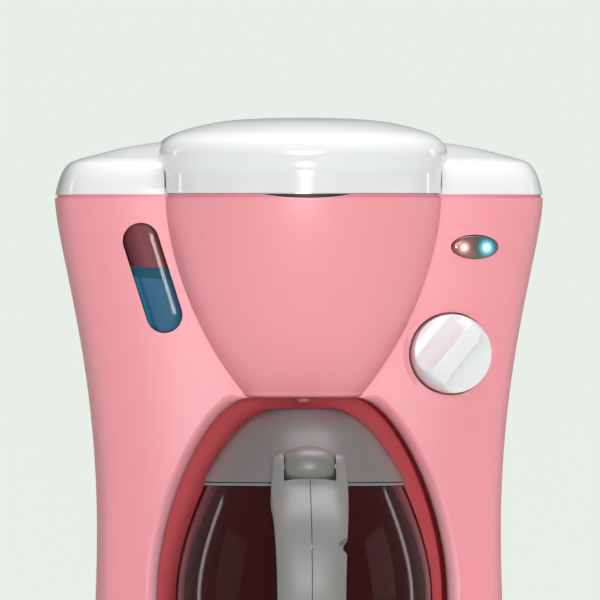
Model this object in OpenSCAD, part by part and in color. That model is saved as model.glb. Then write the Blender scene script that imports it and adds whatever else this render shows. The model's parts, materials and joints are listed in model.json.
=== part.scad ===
// Toy filter coffee maker with a lift-out carafe.
// Millimetres, +Z up, the front faces -Y, origin on the floor under the middle of the bounding box.
// Distances called "ahead" are measured forward from the plane where the front and rear shells meet.

/* [Body] */
// Width of the body at its top edge
top_w = 180; // [172:1:188]
// Width of the body at its waist
waist_w = 148.8; // [144:0.4:153]
// Width of the base on the floor
foot_w = 160; // [154:1:168]
// Depth of the body at its top edge
top_d = 85; // [83:0.5:89]
// Depth of the body at its waist
waist_d = 80; // [78:0.5:84]
// Height of the waist above the floor
waist_z = 85; // [78:1:92]
// Height of the body's upper edge, under the white top
body_top = 208; // [204:1:212]
// How square the plan is, as the power of its superellipse
plan_power = 5; // [4.6:0.1:5.6]
// Thickness of the moulded walls
wall = 2.2; // [2:0.1:2.5]
// Gap between a piece and what it fits into
fit = 0.3; // [0.2:0.05:0.4]

/* [Basket housing] */
// Width of the rounded basket housing at the top
bulge_w = 101.6; // [98:0.4:104]
// Width of its flat bottom
bulge_foot_w = 38.4; // [36:0.4:40]
// How far it stands out, as a share of its half width
bulge_swell = 0.71; // [0.66:0.01:0.75]

/* [Carafe bay] */
// Height of the bay's arched top
bay_top = 134.3; // [133.3:0.1:136.5]
// Width of the bay at the bottom
bay_w = 107; // [105:0.5:110]
// Radius that rounds the bay's edge into the face
lip_r = 4.6; // [4:0.1:5]
// Height of the base's deck
deck_z = 26; // [25:0.5:27]
// Distance that the base reaches ahead of the parting plane
base_reach = 93.5; // [91:0.5:97]
// Depth of the bay's back wall behind the parting plane
bay_back = 6.5; // [6:0.5:8]

/* [Lid] */
// Height of the lid's crown
lid_top = 237.5; // [235:0.5:241]
// Distance from the parting plane back to the lid's rear edge
lid_rear = 31; // [30:0.5:32]
// How far the rim of the lid overhangs its skirt
lid_overhang = 2.5; // [2:0.1:2.8]
// Radius of the hinge knuckles
knuckle_r = 3.2; // [3:0.1:3.4]
// Radius of the hinge pins
hinge_pin_r = 1.2; // [1:0.1:1.4]

/* [Carafe] */
// Distance of the carafe's axis ahead of the parting plane
carafe_ahead = 45.5; // [45:0.5:46.5]
// Largest radius of the carafe
carafe_r = 47.4; // [46.4:0.2:48.4]
// Radius of the carafe's mouth
mouth_r = 36.8; // [36:0.2:37.4]
// Height of the carafe's mouth
mouth_z = 102; // [101:0.5:103]
// Height of the carafe lid's flat top
dome_z = 130.1; // [129:0.1:130.3]
// Thickness of the carafe's wall
glass_t = 2; // [1.8:0.1:2.4]
// Distance from the carafe's axis to the front of the handle
handle_reach = 73; // [72:0.5:77]
// Width of the handle
handle_w = 28.4; // [27:0.2:30]
// Thickness of the handle's grip
grip_t = 10; // [9:0.5:11]
// Width of the thumb lever between the handle's prongs
lever_w = 18.4; // [17.4:0.2:18.8]

/* [Controls] */
// Distance from the body's right side, at its widest, to the knob's axis
knob_inset = 35.6; // [34:0.2:37]
// Height of the knob
knob_z = 150.4; // [149:0.2:152]
// Radius of the knob
knob_r = 14.65; // [14:0.05:15.2]
// Angle that the knob and lights face to the right, in degrees
panel_tilt = 9.5; // [8:0.5:11]
// Height of the pilot lights
lamp_z = 189.8; // [188:0.2:192]
// Distance between the two pilot lights
lamp_pitch = 8.5; // [8:0.1:9]

/* [Water] */
// Distance from the body's left side, at its widest, to the upper end of the water window
window_inset = 30.1; // [29:0.1:31]
// Radius of the water window's round ends
window_r = 6.7; // [6.4:0.1:7]
// Level of the water in the tank
water_z = 182.4; // [165:0.2:195]
// Radius of the filter basket's wall at the top
basket_r = 28.5; // [27.5:0.5:28.5]

/* [Hidden] */
$fn = 48;

pink = "lightpink";
red = "firebrick";
white = "white";
grey = "gray";
dark = "dimgray";
steel = "silver";

// The middle of the bounding box, which runs from the handle's front to the back of the body.
body_y = (carafe_ahead + handle_reach - top_d / 2) / 2;
lip = 1.2;
lip_inset = 0.8;
top_z = body_top + lip;
knob_x = top_w / 2 - knob_inset;
floor_z = 3;
power = 2 / plan_power;

// ---------- shared curves ----------
function bez(p, t) =
    pow(1 - t, 3) * p[0] + 3 * t * pow(1 - t, 2) * p[1] + 3 * t * t * (1 - t) * p[2] + t * t * t * p[3];
function curve(p, n) = [for (i = [0:n]) bez(p, i / n)];
function flat(lists) = [for (l = lists) for (p = l) p];

// The place along a rising curve where its second coordinate is z.
function place(p, z, lo = 0, hi = 1, n = 20) =
    n == 0 ? (lo + hi) / 2
    : let (mid = (lo + hi) / 2)
        (bez(p, mid)[1] > z) == (p[3][1] > p[0][1])
            ? place(p, z, lo, mid, n - 1)
            : place(p, z, mid, hi, n - 1);

// Half width and half depth of the body: an S-shaped flare above the waist and a spread below it.
flare_curve = [[0, waist_z], [0, waist_z + 65], [1, top_z - 19], [1, top_z]];
function flare(z) = z <= waist_z ? 0 : z >= top_z ? 1 : bez(flare_curve, place(flare_curve, z))[0];
function spread(z) = z < waist_z ? pow((waist_z - z) / waist_z, 2) : 0;
function half_w(z) = (waist_w + (top_w - waist_w) * flare(z) + (foot_w - waist_w) * spread(z)) / 2;
function half_d(z) = (waist_d + (top_d - waist_d) * (flare(z) + spread(z))) / 2;

// How far the plain face is ahead of the parting plane, with its wall set in.
function face(x, z, inset = 0) =
    (half_d(z) - inset) * pow(1 - pow(min(1, abs(x) / (half_w(z) - inset)), plan_power), 1 / plan_power);

// The edge of the basket housing on the face.
bulge_floor = bay_top;
bulge_edge = [
    [bulge_foot_w / 2 + 2.8, bulge_floor + 1.7],
    [bulge_w / 2 * 0.75, bulge_floor + 20.7],
    [bulge_w / 2, top_z - 24],
    [bulge_w / 2, top_z]
];
bulge_round = bulge_edge[0][1] - bulge_floor;
function bulge_half(z) =
    z <= bulge_floor ? bulge_foot_w / 2
    : z < bulge_edge[0][1]
        ? bulge_foot_w / 2 + 2.8 * sqrt(1 - pow((bulge_edge[0][1] - z) / bulge_round, 2))
        : bez(bulge_edge, place(bulge_edge, min(z, top_z)))[0];

// The bay's arch from the right foot over the top to the left foot, grown outward.
function arch_side(grow) = [
    [19, bay_top + grow],
    [34 + grow / 2, bay_top + grow],
    [bay_w / 2 + grow, 95 + grow / 2],
    [bay_w / 2 + grow, 60]
];
function arch(grow, foot, n = 14) =
    let (side = curve(arch_side(grow), n))
    concat([[bay_w / 2 + grow, foot]], [for (i = [n:-1:0]) side[i]],
        [for (p = side) [-p[0], p[1]]], [[-bay_w / 2 - grow, foot]]);

// The arch grown outward everywhere but under the basket housing, where the growth fades out.
function arch_lip(grow, foot, n = 14) =
    let (
        plain = curve(arch_side(0), n),
        grown = curve(arch_side(grow), n),
        side = [for (i = [n:-1:0])
            let (u = max(0, min(1, (plain[i][0] - 19.6) / 9)))
            plain[i] + u * u * (3 - 2 * u) * (grown[i] - plain[i])]
    )
    concat([[bay_w / 2 + grow, foot]], side,
        [for (i = [n:-1:0]) [-side[i][0], side[i][1]]], [[-bay_w / 2 - grow, foot]]);

// ---------- shared solids ----------
module ahead(x, distance, z) {
    translate([x, body_y - distance, z]) children();
}

// Carries an outline drawn in X and Z from one distance ahead of the parting plane to another.
module along_y(front, back) {
    translate([0, body_y - back, 0]) rotate([90, 0, 0]) linear_extrude(front - back) children();
}

// A rod between two points given as x, distance ahead and z.
module rod(r, from, to) {
    a = [from[0], body_y - from[1], from[2]];
    v = [to[0], body_y - to[1], to[2]] - a;
    translate(a)
        rotate([0, acos(v[2] / norm(v)), atan2(v[1], v[0])])
            cylinder(r = r, h = norm(v));
}

// A rod along a row of points, with a ball at each bend.
module rod_path(r, points) {
    for (i = [0:len(points) - 2]) rod(r, points[i], points[i + 1]);
    for (i = [1:len(points) - 2]) ahead(points[i][0], points[i][1], points[i][2]) sphere(r = r + 0.04);
}

// A curved wall with flat ends, between two sheets of open rings.
module wall_of(outer, inner) {
    m = len(outer);
    n = len(outer[0]);
    s = m * n;
    rows = [0:m - 2];
    columns = [0:n - 2];
    polyhedron(
        points = concat(flat(outer), flat(inner)),
        faces = concat(
            [for (i = rows) for (j = columns) [i * n + j, i * n + j + 1, (i + 1) * n + j + 1]],
            [for (i = rows) for (j = columns) [i * n + j, (i + 1) * n + j + 1, (i + 1) * n + j]],
            [for (i = rows) for (j = columns) [s + i * n + j, s + (i + 1) * n + j + 1, s + i * n + j + 1]],
            [for (i = rows) for (j = columns) [s + i * n + j, s + (i + 1) * n + j, s + (i + 1) * n + j + 1]],
            [for (i = rows) [i * n, (i + 1) * n, s + (i + 1) * n, s + i * n]],
            [for (i = rows) [i * n + n - 1, s + i * n + n - 1, s + (i + 1) * n + n - 1, (i + 1) * n + n - 1]],
            [for (j = columns) [j, s + j, s + j + 1, j + 1]],
            [for (j = columns)
                [s - n + j, s - n + j + 1, 2 * s - n + j + 1, 2 * s - n + j]]
        ),
        convexity = 6
    );
}

// A solid through closed rings from the bottom up.
module loft(rings) {
    m = len(rings);
    n = len(rings[0]);
    polyhedron(
        points = flat(rings),
        faces = concat(
            [for (i = [0:m - 2]) for (j = [0:n - 1])
                [i * n + j, (i + 1) * n + (j + 1) % n, (i + 1) * n + j]],
            [for (i = [0:m - 2]) for (j = [0:n - 1])
                [i * n + j, i * n + (j + 1) % n, (i + 1) * n + (j + 1) % n]],
            [[for (j = [n - 1:-1:0]) j], [for (j = [0:n - 1]) (m - 1) * n + j]]
        ),
        convexity = 6
    );
}

// A thin cup that opens downward: closed rings up its outside, and as many up its inside.
module cup(outer, inner) {
    m = len(outer);
    n = len(outer[0]);
    s = m * n;
    rows = [0:m - 2];
    columns = [0:n - 1];
    polyhedron(
        points = concat(flat(outer), flat(inner)),
        faces = concat(
            [for (i = rows) for (j = columns) [i * n + j, (i + 1) * n + (j + 1) % n, (i + 1) * n + j]],
            [for (i = rows) for (j = columns) [i * n + j, i * n + (j + 1) % n, (i + 1) * n + (j + 1) % n]],
            [for (i = rows) for (j = columns)
                [s + i * n + j, s + (i + 1) * n + j, s + (i + 1) * n + (j + 1) % n]],
            [for (i = rows) for (j = columns)
                [s + i * n + j, s + (i + 1) * n + (j + 1) % n, s + i * n + (j + 1) % n]],
            [for (j = columns) [j, s + j, s + (j + 1) % n, (j + 1) % n]],
            [[for (j = columns) (m - 1) * n + j], [for (j = [n - 1:-1:0]) s + (m - 1) * n + j]]
        ),
        convexity = 6
    );
}

// ---------- front and rear shells ----------
side_steps = 9;
bulge_steps = 14;
rear_steps = 20;

// One level of the front shell, from the right parting edge round the face to the left one.
function front_ring(z, inset, bulged, w) =
    let (
        a = half_w(z) - inset,
        b = half_d(z) - inset,
        last = acos(pow(w / a, 1 / power)),
        side = [for (j = [0:side_steps])
            let (t = last * j / side_steps) [a * pow(cos(t), power), b * pow(sin(t), power)]],
        root = face(w, z, inset),
        middle = [for (j = [1:bulge_steps - 1])
            let (t = 180 * j / bulge_steps, x = w * cos(t))
            [x, bulged ? root + w * bulge_swell * sin(t) : face(x, z, inset)]]
    )
    [for (p = concat(side, middle, [for (j = [side_steps:-1:0]) [-side[j][0], side[j][1]]]))
        [p[0], body_y - p[1], z]];

// One level of the rear shell, from the right parting edge round the back.
function rear_ring(z, inset) = [
    for (j = [0:rear_steps])
        let (t = 180 * j / rear_steps, c = j * 2 == rear_steps ? 0 : cos(t))
        [
            sign(c) * (half_w(z) - inset) * pow(abs(c), power),
            body_y + (half_d(z) - inset) * pow(max(0, sin(t)), power),
            z
        ]
];

column_z = [for (i = [0:7]) deck_z + (bulge_floor - deck_z) * i / 7];
bulge_z = concat(
    [for (i = [0:2]) bulge_floor + bulge_round * i / 2],
    [for (t = [0.09:0.115:0.96]) bez(bulge_edge, t)[1]],
    [body_top]
);
// Heights inside the housing: its floor is as thick as the wall, and the upper edge is stepped.
function under_step(z) = min(z, body_top - lip);
function over_floor(z) = under_step(z + wall * max(0, 1 - (z - bulge_floor) / 14));

module front_wall() {
    w0 = bulge_foot_w / 2;
    step_in = bulge_floor + wall;
    wall_of(
        concat(
            [for (z = column_z) front_ring(z, 0, false, w0)],
            [for (z = bulge_z) front_ring(z, 0, true, bulge_half(z))],
            [for (z = [body_top, top_z]) front_ring(z, lip_inset, true, bulge_half(z) - lip_inset)]
        ),
        concat(
            [for (z = column_z)
                front_ring(z == bulge_floor ? step_in : z, wall, false, bulge_half(step_in) - wall)],
            [for (z = bulge_z) let (h = over_floor(z)) front_ring(h, wall, true, bulge_half(h) - wall)],
            [for (z = [body_top + lip / 3, top_z]) front_ring(z, wall, true, bulge_half(z) - wall)]
        )
    );
}

// Screw bosses that join the two shells: distance to the side and height.
shell_boss = [[waist_w / 2 - 7.4, 64], [top_w / 2 - 14, 197]];
boss_r = 4.4;
screw_r = 1.5;
head_r = 2.9;
head_h = 2.2;
screw_seat = 11;

// A rib from a boss to the side wall.
module side_rib(spot, from, to) {
    reach = half_w(spot[1]) - wall / 2 - spot[0];
    for (side = [-1, 1])
        ahead(side * (spot[0] + reach / 2), (from + to) / 2, spot[1])
            cube([reach, to - from, 2], center = true);
}

module front_boss() {
    length = 13;
    for (b = shell_boss) {
        for (side = [-1, 1])
            ahead(side * b[0], length, b[1]) rotate([-90, 0, 0]) cylinder(r = boss_r, h = length);
        side_rib(b, 0, length);
    }
}

module front_boss_bores() {
    for (b = shell_boss) for (side = [-1, 1])
        ahead(side * b[0], 11, b[1]) rotate([-90, 0, 0]) cylinder(r = screw_r, h = 12);
}

module rear_boss() {
    for (b = shell_boss) intersection() {
        for (side = [-1, 1]) ahead(side * b[0], 0, b[1]) rotate([-90, 0, 0]) cylinder(r = boss_r, h = 60);
        inner_body(wall * 0.4, b[1] - 8, b[1] + 8);
    }
}

module rear_boss_bores() {
    for (b = shell_boss) for (side = [-1, 1]) ahead(side * b[0], 1, b[1]) rotate([-90, 0, 0]) {
        cylinder(r = screw_r + 0.2, h = 50);
        translate([0, 0, screw_seat + 1]) cylinder(r = head_r + 0.3, h = 50);
    }
}

// Posts in the feet of the shells, for the screws that come up through the base.
post_x = foot_w / 2 - 17;
foot_posts = [[post_x, -21], [post_x, 18]];
post_h = 18;
// The body's plan between two heights, set in from its outside.
module inner_body(inset, from, to, pitch = 8) {
    n = max(2, round((to - from) / pitch));
    loft([for (i = [0:n])
        let (z = from + (to - from) * i / n, back = rear_ring(z, inset))
        concat(
            [for (q = back) [q[0], 2 * body_y - q[1], z]],
            [for (j = [rear_steps - 1:-1:1]) back[j]]
        )]);
}

module foot_post(p) {
    way = p[1] < 0 ? -1 : 1;
    gap = face(p[0], deck_z + post_h / 2, wall / 2) - abs(p[1]);
    for (side = [-1, 1]) {
        ahead(side * p[0], p[1], deck_z) cylinder(r = boss_r, h = post_h);
        ahead(side * p[0], p[1] + way * gap / 2, deck_z + post_h / 2) cube([2, gap, post_h], center = true);
    }
}

module foot_post_bores(p, from, r, h) {
    for (side = [-1, 1]) ahead(side * p[0], p[1], from) cylinder(r = r, h = h);
}

// Carries what is square to the control panel: its +Z points out of the panel at the knob.
module on_panel(dx = 0, dz = 0) {
    ahead(knob_x, face(knob_x, knob_z), knob_z)
        rotate([0, 0, panel_tilt]) rotate([90, 0, 0]) translate([dx, dz, 0]) children();
}

// The pilot lights' middle, seen from the knob in the panel's own plane.
lamp_dx = 8.8;
lamp_dz = lamp_z - knob_z;
lens_w = 17.8;
lens_h = 8.8;
module oval(grow = 0) {
    polygon([for (a = [0:12:348]) [(lens_w / 2 + grow) * cos(a), (lens_h / 2 + grow) * sin(a)]]);
}

// The water window: a slanted slot with round ends, on the left.
window_top = [window_inset - top_w / 2, 192];
window_foot = window_top + [8.7, -27.3];
module slot(r) {
    d = window_top - window_foot;
    translate(window_top) circle(r = r);
    translate(window_foot) circle(r = r);
    translate(window_foot) rotate(atan2(d[1], d[0]) - 90) translate([-r, 0]) square([2 * r, norm(d)]);
}

knob_gap = 0.7;
well_r = knob_r + knob_gap;
well_depth = 8;
well_floor = 2;
shaft_r = 3;
scoop_w = 33;
scoop_h = 1.5;
nozzle_ahead = 43.5;
nozzle_r = 4.6;
rim_w = lip_r + 1.4;
rim_from = 33;
plate_rim = 2.6;

// Plan of the plate that closes the bulge from below and carries the nozzle.
module plate_plan(grow, from) {
    root = face(bulge_foot_w / 2, bulge_floor);
    a = bulge_foot_w / 2 - plate_rim + grow;
    translate([0, body_y - root]) polygon(concat(
        [for (t = [0:7.5:180]) [a * cos(t), -a * bulge_swell * sin(t)]],
        [[-a, root - from], [a, root - from]]
    ));
}

module nozzle_plate() {
    color(red) difference() {
        translate([0, 0, bulge_floor]) linear_extrude(wall) plate_plan(0, rim_from + 0.1);
        ahead(0, nozzle_ahead, bulge_floor - 1) cylinder(r = nozzle_r, h = 8);
    }
}

// The bay's opening, whose edge is rounded into the face.
function lip_ring(b) = [for (p = arch_lip(lip_r * (1 - sin(b)), 0))
    [p[0], body_y - face(p[0], p[1]) + lip_r * (1 - cos(b)), p[1]]];

module bay_cutter() {
    loft(concat(
        [[for (p = arch_lip(lip_r, 0)) [p[0], body_y - base_reach, p[1]]]],
        [for (b = [0:22.5:90]) lip_ring(b)],
        [[for (p = arch_lip(0, 0)) [p[0], body_y - 5, p[1]]]]
    ));
}

module front_shell() {
    scoop_r = (pow(scoop_w / 2, 2) + pow(scoop_h, 2)) / (2 * scoop_h);
    color(pink)
    difference() {
        union() {
            difference() {
                front_wall();
                along_y(80, 20) slot(window_r);
                on_panel(lamp_dx, lamp_dz) translate([0, 0, -12]) linear_extrude(24) oval(0.1);
                on_panel() translate([0, 0, -6]) cylinder(r = well_r, h = 30);
            }
            // The arch's turned-in rim, which the bay's liner butts against.
            intersection() {
                along_y(base_reach, rim_from) {
                    polygon(arch(wall, deck_z));
                    polygon(arch_lip(rim_w, deck_z));
                }
                inner_body(wall / 2, deck_z, bay_top + 6, 24);
            }
            front_boss();
            foot_post(foot_posts[1]);
            board_post();
            // The knob's well.
            on_panel() translate([0, 0, -well_depth - well_floor]) difference() {
                cylinder(r = well_r + 2, h = well_depth + well_floor - 1.2);
                translate([0, 0, well_floor]) cylinder(r = well_r, h = well_depth);
            }
        }
        bay_cutter();
        front_boss_bores();
        foot_post_bores(foot_posts[1], deck_z - 1, screw_r, 15);
        on_panel() translate([0, 0, -well_depth - well_floor - 1]) cylinder(r = shaft_r + 0.35, h = 6);
        translate([0, 0, bulge_floor - 4]) linear_extrude(4 + wall + 0.4) plate_plan(0.1, rim_from - 1);
        // The thumb scoop under the lid.
        along_y(90, 60) translate([0, top_z - scoop_h + scoop_r]) circle(r = scoop_r, $fn = 240);
    }
}

vent_rows = 6;
module rear_shell() {
    color(pink)
    difference() {
        union() {
            wall_of(
                concat(
                    [for (z = [top_z, body_top]) rear_ring(z, lip_inset)],
                    [for (i = [7:-1:0]) rear_ring(waist_z + (body_top - waist_z) * i / 7, 0)],
                    [for (z = [(waist_z + deck_z) / 2, deck_z]) rear_ring(z, 0)]
                ),
                concat(
                    [for (z = [top_z, body_top + lip / 3]) rear_ring(z, wall)],
                    [for (i = [7:-1:0]) rear_ring(under_step(waist_z + (body_top - waist_z) * i / 7), wall)],
                    [for (z = [(waist_z + deck_z) / 2, deck_z]) rear_ring(z, wall)]
                )
            );
            rear_boss();
            foot_post(foot_posts[0]);
        }
        rear_boss_bores();
        foot_post_bores(foot_posts[0], deck_z - 1, screw_r, 15);
        for (i = [0:vent_rows - 1])
            along_y(-30, -60) translate([0, 120 + i * 8])
                polygon([[-26, 0], [-25, -1.3], [25, -1.3], [26, 0], [25, 1.3], [-25, 1.3]]);
    }
}

// ---------- base ----------
base_steps = 22;
// One level of the base: the body's plan behind, and a rounder toe ahead of the parting plane.
function base_ring(z, inset, draw) = [
    for (j = [0:2 * base_steps - 1])
        let (
            t = 180 * j / base_steps,
            front = j <= base_steps,
            n = front ? 2 / 2.6 : power,
            reach = front ? base_reach - draw - inset : half_d(z) - inset,
            c = 2 * j == base_steps || 2 * j == 3 * base_steps ? 0 : cos(t),
            s = j == 0 || j == base_steps ? 0 : sin(t)
        )
        [
            sign(c) * (half_w(z) - inset) * pow(abs(c), n),
            body_y - sign(s) * reach * pow(abs(s), n),
            z
        ]
];

plate_top = floor_z + 2.2;
deck_t = 3.2;
plate_r = 40;
plate_sink = 1.7;
plate_rise = 0.3;
tube_r = 5.2;

module base() {
    color(pink)
    difference() {
        union() {
            difference() {
                loft([for (l = [[floor_z, 1], [floor_z + 1.2, 0], [16, 0.4], [deck_z - 3, 1.4], [deck_z - 1, 2.2], [deck_z, 4]])
                    base_ring(l[0], l[0] == floor_z ? 0.6 : 0, l[1])]);
                loft([for (l = [[floor_z - 1, 1], [floor_z + 1.2, 0], [16, 0.4], [deck_z - deck_t, 3]])
                    base_ring(l[0], wall, l[1])]);
            }
            for (p = foot_posts) for (side = [-1, 1])
                ahead(side * p[0], p[1], 8.2) cylinder(r = tube_r, h = deck_z - deck_t / 2 - 8.2);
        }
        for (p = foot_posts) foot_post_bores(p, 0, screw_r + 0.2, 40);
        ahead(0, carafe_ahead, deck_z - plate_sink) cylinder(r = plate_r + fit, h = 10);
        // A way up for the wires.
        ahead(loom_x, loom_ahead, deck_z - 10) cylinder(r = 1.6, h = 20);
    }
}

// The battery box: three cells side by side under the deck.
cell_r = 7;
cell_l = 49.5;
cell_count = 3;
cell_pitch = 15;
cell_z = 14;
bat_ahead = 44;
bat_w = cell_l + 8;
bat_d = cell_count * cell_pitch + 1;
bat_wall = 1.5;
door_w = bat_w - 2;
door_d = bat_d - 2;
box_foot = plate_top;
box_top = cell_z + cell_r + 0.3;
door_screw_x = bat_w / 2 + 7;

feet_spots = [[44, -28], [50, 62]];
speaker_ahead = -14;
speaker_r = 15;

module bottom_plate() {
    color(dark)
    difference() {
        union() {
            loft([for (z = [floor_z + 0.4, plate_top]) base_ring(z, wall + fit + 0.1, 1)]);
            for (p = foot_posts) for (side = [-1, 1])
                ahead(side * p[0], p[1], plate_top - 1) cylinder(r = tube_r, h = 8.2 - plate_top + 1);
            ahead(door_screw_x, bat_ahead, plate_top - 1) cylinder(r = 4, h = 6);
        }
        for (p = foot_posts) {
            foot_post_bores(p, 0, screw_r + 0.2, 40);
            foot_post_bores(p, 0, head_r + 0.3, 6.5);
        }
        ahead(-door_w / 2 - fit, bat_ahead + door_d / 2 + fit, 0)
            cube([door_w + 2 * fit, door_d + 2 * fit, 20]);
        ahead(door_w / 2 - 1, bat_ahead + 6 + fit, 0) cube([11, 12 + 2 * fit, plate_top - 0.6]);
        ahead(door_screw_x, bat_ahead, 0) cylinder(r = 1.2, h = 10);
        for (i = [-3:3]) for (j = [-3:3])
            if (i * i + j * j < 10)
                ahead(i * 4, speaker_ahead + j * 4, 0) cylinder(r = 1.1, h = 10, $fn = 24);
    }
}

module rubber_feet() {
    color(dark)
    for (s = feet_spots) for (side = [-1, 1])
        ahead(side * s[0], s[1], 0) rotate_extrude()
            polygon([[0, 0], [6, 0], [7, 0.8], [7, floor_z + 0.4], [0, floor_z + 0.4]]);
}

// ---------- carafe bay ----------
liner_t = 1.8;
module bay_liner() {
    color(red) {
        along_y(rim_from, -bay_back) difference() {
            polygon(arch(liner_t, deck_z));
            polygon(arch(0, 0));
        }
        along_y(-bay_back, -bay_back - liner_t) polygon(arch(liner_t, deck_z));
    }
}

module warming_plate() {
    color(steel)
    ahead(0, carafe_ahead, deck_z - plate_sink) difference() {
        union() {
            cylinder(r = plate_r, h = plate_sink);
            cylinder(r = plate_r - 1, h = plate_sink + plate_rise);
        }
        // A pressed ring, as on a hotplate.
        translate([0, 0, plate_sink]) difference() {
            cylinder(r = plate_r - 9, h = 2);
            translate([0, 0, -1]) cylinder(r = plate_r - 11, h = 4);
        }
    }
}

// ---------- white top ----------
// The pillow-shaped shoulders: how far each level is set in from the body's upper edge, and its height.
shoulder = [[0.2, 0], [0.9, 3.2], [2, 6.8], [3.4, 9.6], [5.1, 11.6], [7.8, 12.9], [11.2, 13.9], [17.6, 15.6],
    [25.4, 17.5], [32.4, 18.7], [38.8, 19.6]];
top_steps = 24;
function top_ring(inset, z) = [
    for (j = [0:2 * top_steps - 1])
        let (
            t = 180 * j / top_steps,
            c = 2 * j == top_steps || 2 * j == 3 * top_steps ? 0 : cos(t),
            s = j == 0 || j == top_steps ? 0 : sin(t)
        )
        [
            sign(c) * (top_w / 2 - inset) * pow(abs(c), power),
            body_y - sign(s) * (top_d / 2 - inset) * pow(abs(s), power),
            z
        ]
];

channel_w = bulge_w + 0.8;
deck_top = top_z + wall;
lid_root = face(bulge_w / 2, top_z);
fill_spot = [window_foot[0] + 7.2, 27];
spout_ahead = 5;
deck_rear = lid_rear - 4;
basket_lip = 2;
hinge_ahead = -lid_rear - knuckle_r - 0.6;
hinge_z = deck_top + knuckle_r + 0.4;
lid_ears = [26.3, 33.7];
cover_ears = [[18, 26], [34, 42]];
skirt_t = 2;

module shoulders() {
    loft([for (i = [0:2:10]) top_ring(shoulder[i][0], top_z + shoulder[i][1])]);
}

module top_cover() {
    color(white)
    difference() {
        union() {
            cup(
                [for (s = shoulder) top_ring(s[0], top_z + s[1])],
                [for (s = shoulder) top_ring(s[0] + wall, top_z + max(0, s[1] - 0.9 * wall))]
            );
            intersection() {
                shoulders();
                translate([0, body_y, 0]) {
                    for (side = [-1, 1])
                        translate([side * (channel_w + wall) / 2, 0, top_z + 15])
                            cube([wall, 120, 30], center = true);
                    translate([0, 0, top_z + wall / 2]) cube([channel_w + wall, 120, wall], center = true);
                }
            }
        }
        ahead(0, 0, deck_top + 20) cube([channel_w, 250, 40], center = true);
        ahead(-channel_w / 2, 90, top_z - 1) cube([channel_w, 90 + deck_rear, 10]);
    }
    // Hinge ears on the deck behind the lid.
    color(white)
    for (side = [-1, 1]) for (e = cover_ears)
        ahead(side > 0 ? e[0] : -e[1], hinge_ahead, hinge_z) rotate([0, 90, 0]) difference() {
            union() {
                cylinder(r = knuckle_r, h = e[1] - e[0]);
                translate([0, -knuckle_r, 0]) cube([hinge_z - deck_top, 2 * knuckle_r, e[1] - e[0]]);
            }
            translate([0, 0, -1]) cylinder(r = hinge_pin_r + 0.02, h = 20);
        }
}

// The plate under the lid, which closes the tank and holds the filter basket.
module top_deck() {
    tongue = bulge_w / 2 - skirt_t - 0.5;
    tongue_reach = bulge_w / 2 * bulge_swell - skirt_t - 0.5;
    color(white)
    difference() {
        union() {
            intersection() {
                shoulders();
                ahead(0.1 - channel_w / 2, 90, top_z) cube([channel_w - 0.2, 90 + deck_rear - 0.1, wall]);
            }
            ahead(0, 0, top_z) linear_extrude(wall) polygon(concat(
                [[tongue, -lid_root + 4], [tongue, -lid_root]],
                [for (t = [7.5:7.5:172.5]) [tongue * cos(t), -lid_root - tongue_reach * sin(t)]],
                [[-tongue, -lid_root], [-tongue, -lid_root + 4]]
            ));
        }
        ahead(0, nozzle_ahead, top_z - 1) cylinder(r = basket_r + 0.5, h = 6);
        ahead(fill_spot[0], fill_spot[1], top_z - 1) cylinder(r = 4.5, h = 6);
        ahead(0, spout_ahead, top_z - 1) cylinder(r = 2.2, h = 6);
    }
}

// ---------- lid ----------
// Levels of the lid: height, how far its front stands out from the skirt, and its share of the full plan.
lid_levels = [
    [top_z + 0.3, 0, 1], [top_z + 7.6, 0.1, 1], [top_z + 9.8, 1.1, 1], [top_z + 12.3, 2, 1],
    [top_z + 14.9, 2.5, 1], [top_z + 17.3, 1.8, 1], [lid_top - 8.8, 0.4, 1], [lid_top - 6.8, 0, 0.957],
    [lid_top - 5.1, 0, 0.884], [lid_top - 3.1, 0, 0.752], [lid_top - 1.5, 0, 0.598],
    [lid_top - 0.5, 0, 0.394], [lid_top, 0, 0.157]
];
lid_mid = 22;
lid_corner = 6;
lid_taper = 0.5;
function blend(u) = let (v = max(0, min(1, u))) v * v * (3 - 2 * v);

// One level of the lid, right side first, then round the front, the left side and the rear.
function lid_ring(level, inset, drop) =
    let (
        w = bulge_w / 2 - inset,
        e = level[1] * lid_overhang / 2.5,
        k = level[2],
        edge = lid_root - 3.6,
        sides = [for (d = [edge + 2.4, edge + 1.2, edge, 22, 5, -12])
            [w + e * blend((d - edge) / 3.6) - lid_taper * pow((lid_root - d) / 66, 2), d]],
        r = lid_corner - inset,
        corner = [for (a = [0:22.5:90])
            [bulge_w / 2 - lid_taper - lid_corner + r * cos(a), -lid_rear + lid_corner - r * sin(a)]],
        front = [for (t = [0:7.5:180])
            [(w + e) * cos(t), lid_root + ((bulge_w / 2) * bulge_swell - inset + e) * sin(t)]],
        right = concat(sides, corner),
        n = len(right) - 1
    )
    [for (p = concat(front, [for (q = right) [-q[0], q[1]]], [for (i = [n:-1:0]) right[i]]))
        [k * p[0], body_y - lid_mid - k * (p[1] - lid_mid), level[0] - drop]];

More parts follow.
